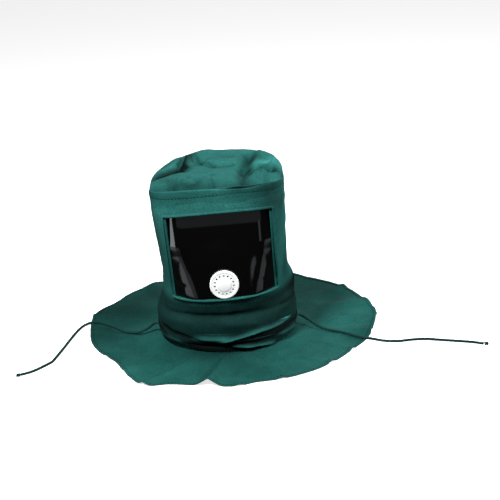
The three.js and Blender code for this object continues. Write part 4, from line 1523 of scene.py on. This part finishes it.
def lathe_mesh(name, profile, sides):
    """A profile of (radius, height) in mm, turned round its own axis."""
    vertices, rings = [], []
    for radius, height in profile:
        ring = turns(sides if radius else 1)
        rings.append([len(vertices) + k % len(ring) for k in range(sides + 1)])
        for t in ring:
            place = (radius * MM * math.cos(t), radius * MM * math.sin(t), height * MM)
            vertices.append(place)
    faces = []
    for low, high in zip(rings, rings[1:]):
        for k in range(sides):
            corners = (low[k], low[k + 1], high[k + 1], high[k])
            faces.append(tuple(dict.fromkeys(corners)))
    mesh = bpy.data.meshes.new(name)
    mesh.from_pydata(vertices, [], faces)
    fix_normals(mesh)
    return mesh


def valve_profile():
    """Half the cap's section: inside from the middle out, round the rim, and back."""
    plate = VALVE_THICKNESS - VALVE_BEVEL
    base = CLEARANCE + VALVE_STANDOFF
    inner = VALVE_RADIUS - VALVE_WALL
    profile = [(0, plate - VALVE_WALL), (VALVE_DOME_RADIUS, plate - VALVE_WALL)]
    profile += [(inner - VALVE_BEVEL, plate - VALVE_WALL), (inner, plate - VALVE_WALL - 1)]
    profile += [(inner, base), (VALVE_RADIUS, base), (VALVE_RADIUS, plate - VALVE_BEVEL)]
    for share in (0.25, 0.5, 0.75, 1.0):
        turn = share * math.pi / 2
        across = VALVE_RADIUS - VALVE_BEVEL * (1 - math.cos(turn))
        profile.append((across, plate - VALVE_BEVEL + VALVE_BEVEL * math.sin(turn)))
    step_edge, floor_height = VALVE_RADIUS - VALVE_RIM_WIDTH, plate - VALVE_STEP
    profile += [(step_edge + 0.6, plate), (step_edge, floor_height)]
    profile += [(VALVE_DOME_RADIUS + 2.0, floor_height), (VALVE_DOME_RADIUS + 1.2, plate - 0.2)]
    dome = plate + VALVE_DOME_RISE
    profile += [(VALVE_DOME_RADIUS, dome - 0.3), (VALVE_DOME_RADIUS - 1.0, dome), (0, dome)]
    return profile


def valve_cover(material):
    """The white cap with its ring of holes."""
    piece = new_object("valve_cap", lathe_mesh("valve_cap", valve_profile(), VALVE_SIDES))
    radius, low, high = VALVE_HOLE_RADIUS, VALVE_HOLE_BOTTOM, VALVE_HOLE_TOP
    rod = lathe_mesh("hole", [(0, low), (radius, low), (radius, high), (0, high)], HOLE_SIDES)
    circle = VALVE_HOLE_CIRCLE * MM
    cutters = []
    for number, turn in enumerate(turns(VALVE_HOLES)):
        cutter = new_object(f"hole_{number}", rod)
        cutter.location = (circle * math.sin(turn), circle * math.cos(turn), 0)
        cut = piece.modifiers.new(cutter.name, "BOOLEAN")
        cut.operation = "DIFFERENCE"
        cut.solver = "EXACT"
        cut.object = cutter
        cutters.append(cutter)
    bpy.context.view_layer.update()
    graph = bpy.context.evaluated_depsgraph_get()
    mesh = bpy.data.meshes.new_from_object(piece.evaluated_get(graph))
    for extra in [piece, *cutters]:
        bpy.data.objects.remove(extra, do_unlink=True)
    mesh.transform(valve_matrix())
    mesh.shade_smooth()
    mesh.set_sharp_from_angle(angle=math.radians(35))
    piece = add_piece("valve_cap_white", mesh, material)
    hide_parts("valve_cover")


def casing_edges(angle, name):
    wrapped = turn_between(angle, 0.0)
    places = [row.angle for row in CASING_EDGES]
    values = [getattr(row, name) for row in CASING_EDGES]
    ends = {"bottom": CASING_BOTTOM, "top": CASING_TOP}
    front = through_table(places, values, wrapped)
    behind = smooth((np.abs(wrapped) - 80.0) / 30.0)
    return front * (1 - behind) + ends[name] * behind


def casing_grid(angles, shares):
    """The angle and height of each place on a casing."""
    bottom, top = casing_edges(angles, "bottom")[None, :], casing_edges(angles, "top")[None, :]
    height = bottom + (top - bottom) * shares[:, None]
    return np.broadcast_to(angles, height.shape), height


def casing_points(angles, shares, folds):
    bulge = through_table(*zip(*CASING_PROFILE), shares)[:, None]
    angle, height = casing_grid(angles, shares)
    near_mouth = smooth((np.abs(turn_between(angle, 0.0)) - 70.0) / 12.0)
    out = CASING_BULGE * bulge * (1 - 0.25 * near_mouth * (angle < CASING_REACH + 6))
    fold = fold_lift(angle, height, folds, ARC_SCALE, CASING_TAPER)
    out = out + CASING_FOLD_HEIGHT * bulge * fold
    noise = wrinkles(angle * ARC_SCALE, height * 0.7, CASING_WRINKLE_SIZE, 51)
    out = out + CASING_WRINKLE * bulge * noise + small_folds(angle, height)
    beside_cord = np.abs(height - CORD_HEIGHT) - CORD_DIAMETER / 2
    over_cord = CORD_DIAMETER + 4 * CLEARANCE
    out = np.maximum(out, over_cord * smooth(1 - beside_cord / CORD_ROOM))
    return wall_point(angle, height, fold + out, folded=False)


def casing_shading(angles, shares, folds, ridge_highlight):
    """Painted shade over the casing, deeper in its creases, with painted highlights on its
    ridges and along its upper edge.
    """
    angle, height = casing_grid(angles, shares)
    lift = fold_lift(angle, height, folds, ARC_SCALE, CASING_TAPER)
    ridges = ridge_highlight * np.clip(lift, 0, 1.1) - 0.5 * np.clip(-lift, 0, 1)
    edge = CASING_EDGE_HIGHLIGHT * smooth((shares - 0.95) / 0.02)[:, None]
    return CASING_SHADE + ridges + edge + shading_patches(CASING_SHADING, angle, height)


def casing(name, start, end, folds, columns, material, node_name, ridge_highlight):
    angles = np.linspace(start, end, columns)
    shares = np.linspace(0, 1, 60)
    points = casing_points(angles, shares, folds)
    u, v = np.meshgrid(angles * ARC_SCALE, shares * CASING_CLOTH_HEIGHT)
    piece = grid_piece(
        name,
        points,
        material,
        uv=np.stack([u, v], axis=-1),
        thick=CASING_THICKNESS,
        # Painted light and shade over the casing.
        tone=casing_shading(angles, shares, folds, ridge_highlight),
    )
    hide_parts(node_name)


def casing_stitches(material):
    angles = np.linspace(-CASING_STITCH_END, CASING_STITCH_END, 240)
    normals = wall_normal(angles, np.full(angles.shape, 50.0))
    for name, share in CASING_STITCH_HEIGHTS.items():
        points = casing_points(angles, np.array([share]), CASING_FOLDS)[0]
        stitches(f"casing_stitches_{name}", points, normals, material)


# The cape
def cape_fold(angle, share, folds):
    turn_scale = math.radians(CAPE_REACH) / (CAPE_REACH - HOOD_WIDTH / 2)
    height = np.zeros(np.broadcast(angle, share).shape)
    for fold in folds:
        u = turn_between(angle, fold.from_angle) * turn_scale
        to_u = turn_between(fold.to_angle, fold.from_angle) * turn_scale
        along, aside = fold_place(u, share, 0.0, fold.start, to_u, fold.end)
        ridge = fold.start_lift + (fold.end_lift - fold.start_lift) * along
        near = np.clip(1 - aside / (2 * fold.spread), 0, 1)
        shape = (1 - fold.sharp) * smooth(near) + fold.sharp * near**1.5
        height = height + ridge * shape
    return CAPE_FOLD_HEIGHT * height


def neck_radius(angle):
    return wall_radius(angle, np.full(np.shape(angle), NECK_HEIGHT))


def cape_points(angle, share):
    turn = np.radians(angle)
    wall = neck_radius(angle)
    inside = wall - CLOTH_THICKNESS
    radius = inside + (outline_reach(angle) - inside) * share
    neck_top = NECK_HEIGHT - CLEARANCE - CLOTH_THICKNESS
    down = smooth((radius - wall) / CAPE_SLOPE_REACH)
    folds = cape_fold(angle, share, CAPE_FOLDS) + cape_fold(angle, share, CAPE_SMALL_FOLDS)
    x, y = radius * np.sin(turn), -radius * np.cos(turn)
    lumps = CAPE_WRINKLE * np.maximum(0, wrinkles(x, y, CAPE_WRINKLE_SIZE, 61) + 0.2)
    hem = HEM_THICKNESS * smooth((share - 1 + HEM_WIDTH / 150.0) * 90.0)
    height = neck_top * (1 - down) + (folds + lumps) * down + CLOTH_THICKNESS + hem
    return np.stack([x, y, height], axis=-1)


def cape(material):
    angles = np.linspace(-180, 180, 420, endpoint=False)
    shares = 1 - np.concatenate([np.linspace(0, 0.06, 12), np.linspace(0.06, 1, 72)[1:]])
    angle, share = np.meshgrid(angles, shares)
    points = cape_points(angle, share)
    piece = grid_piece(
        "cape_cloth",
        points,
        material,
        closed=True,
        uv=plan_uv(points),
        thick=CLOTH_THICKNESS,
        # Painted light and shade over the cape.
        tone=shading_patches(CAPE_SHADING, angle, share),
    )
    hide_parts("cape")
    return piece


def cape_stitches(material):
    angles = np.linspace(-180, 180, 900)
    width = outline_reach(angles) - neck_radius(angles)
    points = cape_points(angles, 1 - HEM_WIDTH / width)
    points[:, 2] += 0.15
    normals = np.tile([0.0, 0.0, 1.0], (len(angles), 1))
    return stitches("cape_hem_stitches", points, normals, material)


# Camera, light and floor
WORLD_LIGHT = 0.04
FLOOR_WIDTH = 24.0


def camera():
    elevation, roll = math.radians(CAMERA_ELEVATION), math.radians(CAMERA_ROLL)
    back = Vector((0, -math.cos(elevation), math.sin(elevation)))
    right_level = Vector((1, 0, 0))
    up_level = Vector((0, math.sin(elevation), math.cos(elevation)))
    right = right_level * math.cos(roll) - up_level * math.sin(roll)
    up = up_level * math.cos(roll) + right_level * math.sin(roll)
    data = bpy.data.cameras.new("camera")
    data.lens = CAMERA_LENS
    data.sensor_width = 36.0
    made = new_object("camera", data)
    turn = Matrix((right, up, back)).transposed().to_4x4()
    place = Vector(to_frame(CAMERA_TARGET)) + back * CAMERA_DISTANCE * MM
    made.matrix_world = Matrix.Translation(place) @ turn
    data.clip_end = 50.0
    bpy.context.scene.camera = made


def area_light(name, place, target, size, power):
    data = bpy.data.lights.new(name, "AREA")
    data.shape = "RECTANGLE"
    data.size, data.size_y = size
    data.energy = power
    made = new_object(name, data)
    away = Vector(target) - Vector(place)
    made.rotation_mode = "QUATERNION"
    made.rotation_quaternion = away.to_track_quat("-Z", "Y")
    made.location = place


def lights():
    area_light("key", (-0.55, -1.10, 1.60), (0, 0.0, 0.2), (0.35, 0.35), 62.0)
    area_light("overhead", (-0.1, 0.3, 1.35), (0, 0.0, 0.1), (0.4, 0.4), 3.0)
    area_light("right", (1.6, -0.1, 0.85), (0, 0, 0.2), (0.3, 0.6), 34.0)
    area_light("back", (0.3, 1.8, 0.5), (0, 0, 0.15), (0.6, 0.4), 4.0)
    area_light("left", (-1.8, 0.7, 0.5), (0, 0, 0.15), (0.4, 0.5), 2.0)
    world = bpy.data.worlds.new("studio")
    bpy.context.scene.world = world
    world.use_nodes = True
    background = world.node_tree.nodes["Background"]
    set_inputs(background, Color=(1, 1, 1, 1), Strength=WORLD_LIGHT)


class Card(NamedTuple):
    """A bright card that only shows as a reflection: its direction, size and light."""

    azimuth: float
    elevation: float
    width: float
    height: float
    light: float


CARD_DISTANCE = 2.0
CARD_COLOUR = (0.86, 0.96, 1.0, 1.0)
CARDS = [
    Card(-65, -8.5, 1.20, 0.54, 4.4),
    Card(-65, -23, 1.20, 0.46, 1.3),
    Card(-42, -23, 0.50, 0.34, 0.5),
    Card(0, 1.5, 2.40, 0.44, 0.28),
    Card(22, -9, 0.30, 0.50, 0.8),
    Card(60, -21, 0.90, 0.45, 0.7),
]


def flat_sheet(name, width, height, material):
    """A flat rectangle round its own middle."""
    x, y = width / 2, height / 2
    mesh = bpy.data.meshes.new(name)
    mesh.from_pydata([(-x, -y, 0), (x, -y, 0), (x, y, 0), (-x, y, 0)], [], [(0, 1, 2, 3)])
    mesh.materials.append(material)
    return new_object(name, mesh)


def card_material(name, light):
    """Light of its own and nothing else."""
    material = bpy.data.materials.new(name)
    material.use_nodes = True
    tree = material.node_tree
    tree.nodes.clear()
    glow = node(tree, "Emission", Strength=light, Color=CARD_COLOUR)
    output = node(tree, "OutputMaterial")
    tree.links.new(glow.outputs["Emission"], output.inputs["Surface"])
    return material


def reflection_cards():
    centre = Vector(to_frame((0, 0, WINDOW_BOTTOM)))
    for number, card in enumerate(CARDS):
        name = f"card_{number}"
        made = flat_sheet(name, card.width, card.height, card_material(name, card.light))
        azimuth, elevation = math.radians(card.azimuth), math.radians(card.elevation)
        flat = math.cos(elevation)
        away = Vector((math.sin(azimuth) * flat, -math.cos(azimuth) * flat, math.sin(elevation)))
        made.location = centre + away * CARD_DISTANCE
        made.rotation_mode = "QUATERNION"
        made.rotation_quaternion = (-away).to_track_quat("Z", "Y")
        made.visible_camera = False
        made.visible_diffuse = False
        made.visible_shadow = False


def floor():
    """A pale floor that doesn't throw its light back onto the cloth."""
    glow = {"Emission_Color": (1, 1, 1, 1), "Emission_Strength": 0.75}
    material = new_material("pale_floor", (0.9, 0.9, 0.9), 0.9, **glow)[0]
    made = flat_sheet("floor", FLOOR_WIDTH, FLOOR_WIDTH, material)
    made.visible_diffuse = False
    made.visible_glossy = False


def cord_pieces(material):
    for name, side, route in (("left", -1, LEFT_CORD_ROUTE), ("right", 1, RIGHT_CORD_ROUTE)):
        path = cord_path(side, route)
        piece = twisted_cord(f"drawstring_{name}", path, material)
        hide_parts(f"cord_{name}")
        end = knot(f"drawstring_knot_{name}", route, material)
        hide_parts(f"knot_{name}")


def cape_area():
    """The flat area of the cape in square metres: the outline less the neck."""
    angles = np.linspace(0, 360, 720, endpoint=False)
    step = math.radians(0.5)
    rings = outline_reach(angles) ** 2 - neck_radius(angles) ** 2
    return float((rings / 2 * step).sum()) * MM * MM


camera()
cord_finish = cord_material()
cord_pieces(cord_finish)

hood_cloth = cloth_material("hood_cloth", CLOTH_COLOUR, CLOTH_WORN_COLOUR)
# The cape's material is a darker copy of the hood's cloth: painted shade.
cape_finish = cloth_material("cape_cloth", CAPE_SHADED_COLOUR, CAPE_SHADED_WORN_COLOUR)
trim = cloth_material("binding_cloth", TRIM_COLOUR, CLOTH_COLOUR)
thread = thread_material()
film = film_material()
plastic = plastic_material()

hood_body(hood_cloth)
crown(hood_cloth)
brow_hem(hood_cloth)
brow_stitches(thread)
window_binding(hood_cloth)
window_stitches(thread)
window_facing(trim)
window_sheet(film)
valve_cover(plastic)
casing(
    "casing_cloth_front",
    -CASING_REACH - CASING_MOUTH,
    CASING_REACH + CASING_MOUTH,
    CASING_FOLDS,
    340,
    hood_cloth,
    "casing_front",
    CASING_RIDGE_HIGHLIGHT,
)
casing(
    "casing_cloth_back",
    BACK_CASING_START,
    360 - BACK_CASING_START,
    BACK_CASING_FOLDS,
    260,
    hood_cloth,
    "casing_back",
    RIDGE_HIGHLIGHT,
)
casing_stitches(thread)
cape_piece = cape(cape_finish)
hem_stitches = cape_stitches(thread)
for name, finish in (("valve_back_ring", plastic), ("drawstring_hidden", cord_finish)):
    cad_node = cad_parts[name]
    cad_node.data.materials.clear()
    cad_node.data.materials.append(finish)

cape_area() * 1.02

lights()
reflection_cards()
floor()
scene = bpy.context.scene
scene.view_settings.view_transform = "Standard"
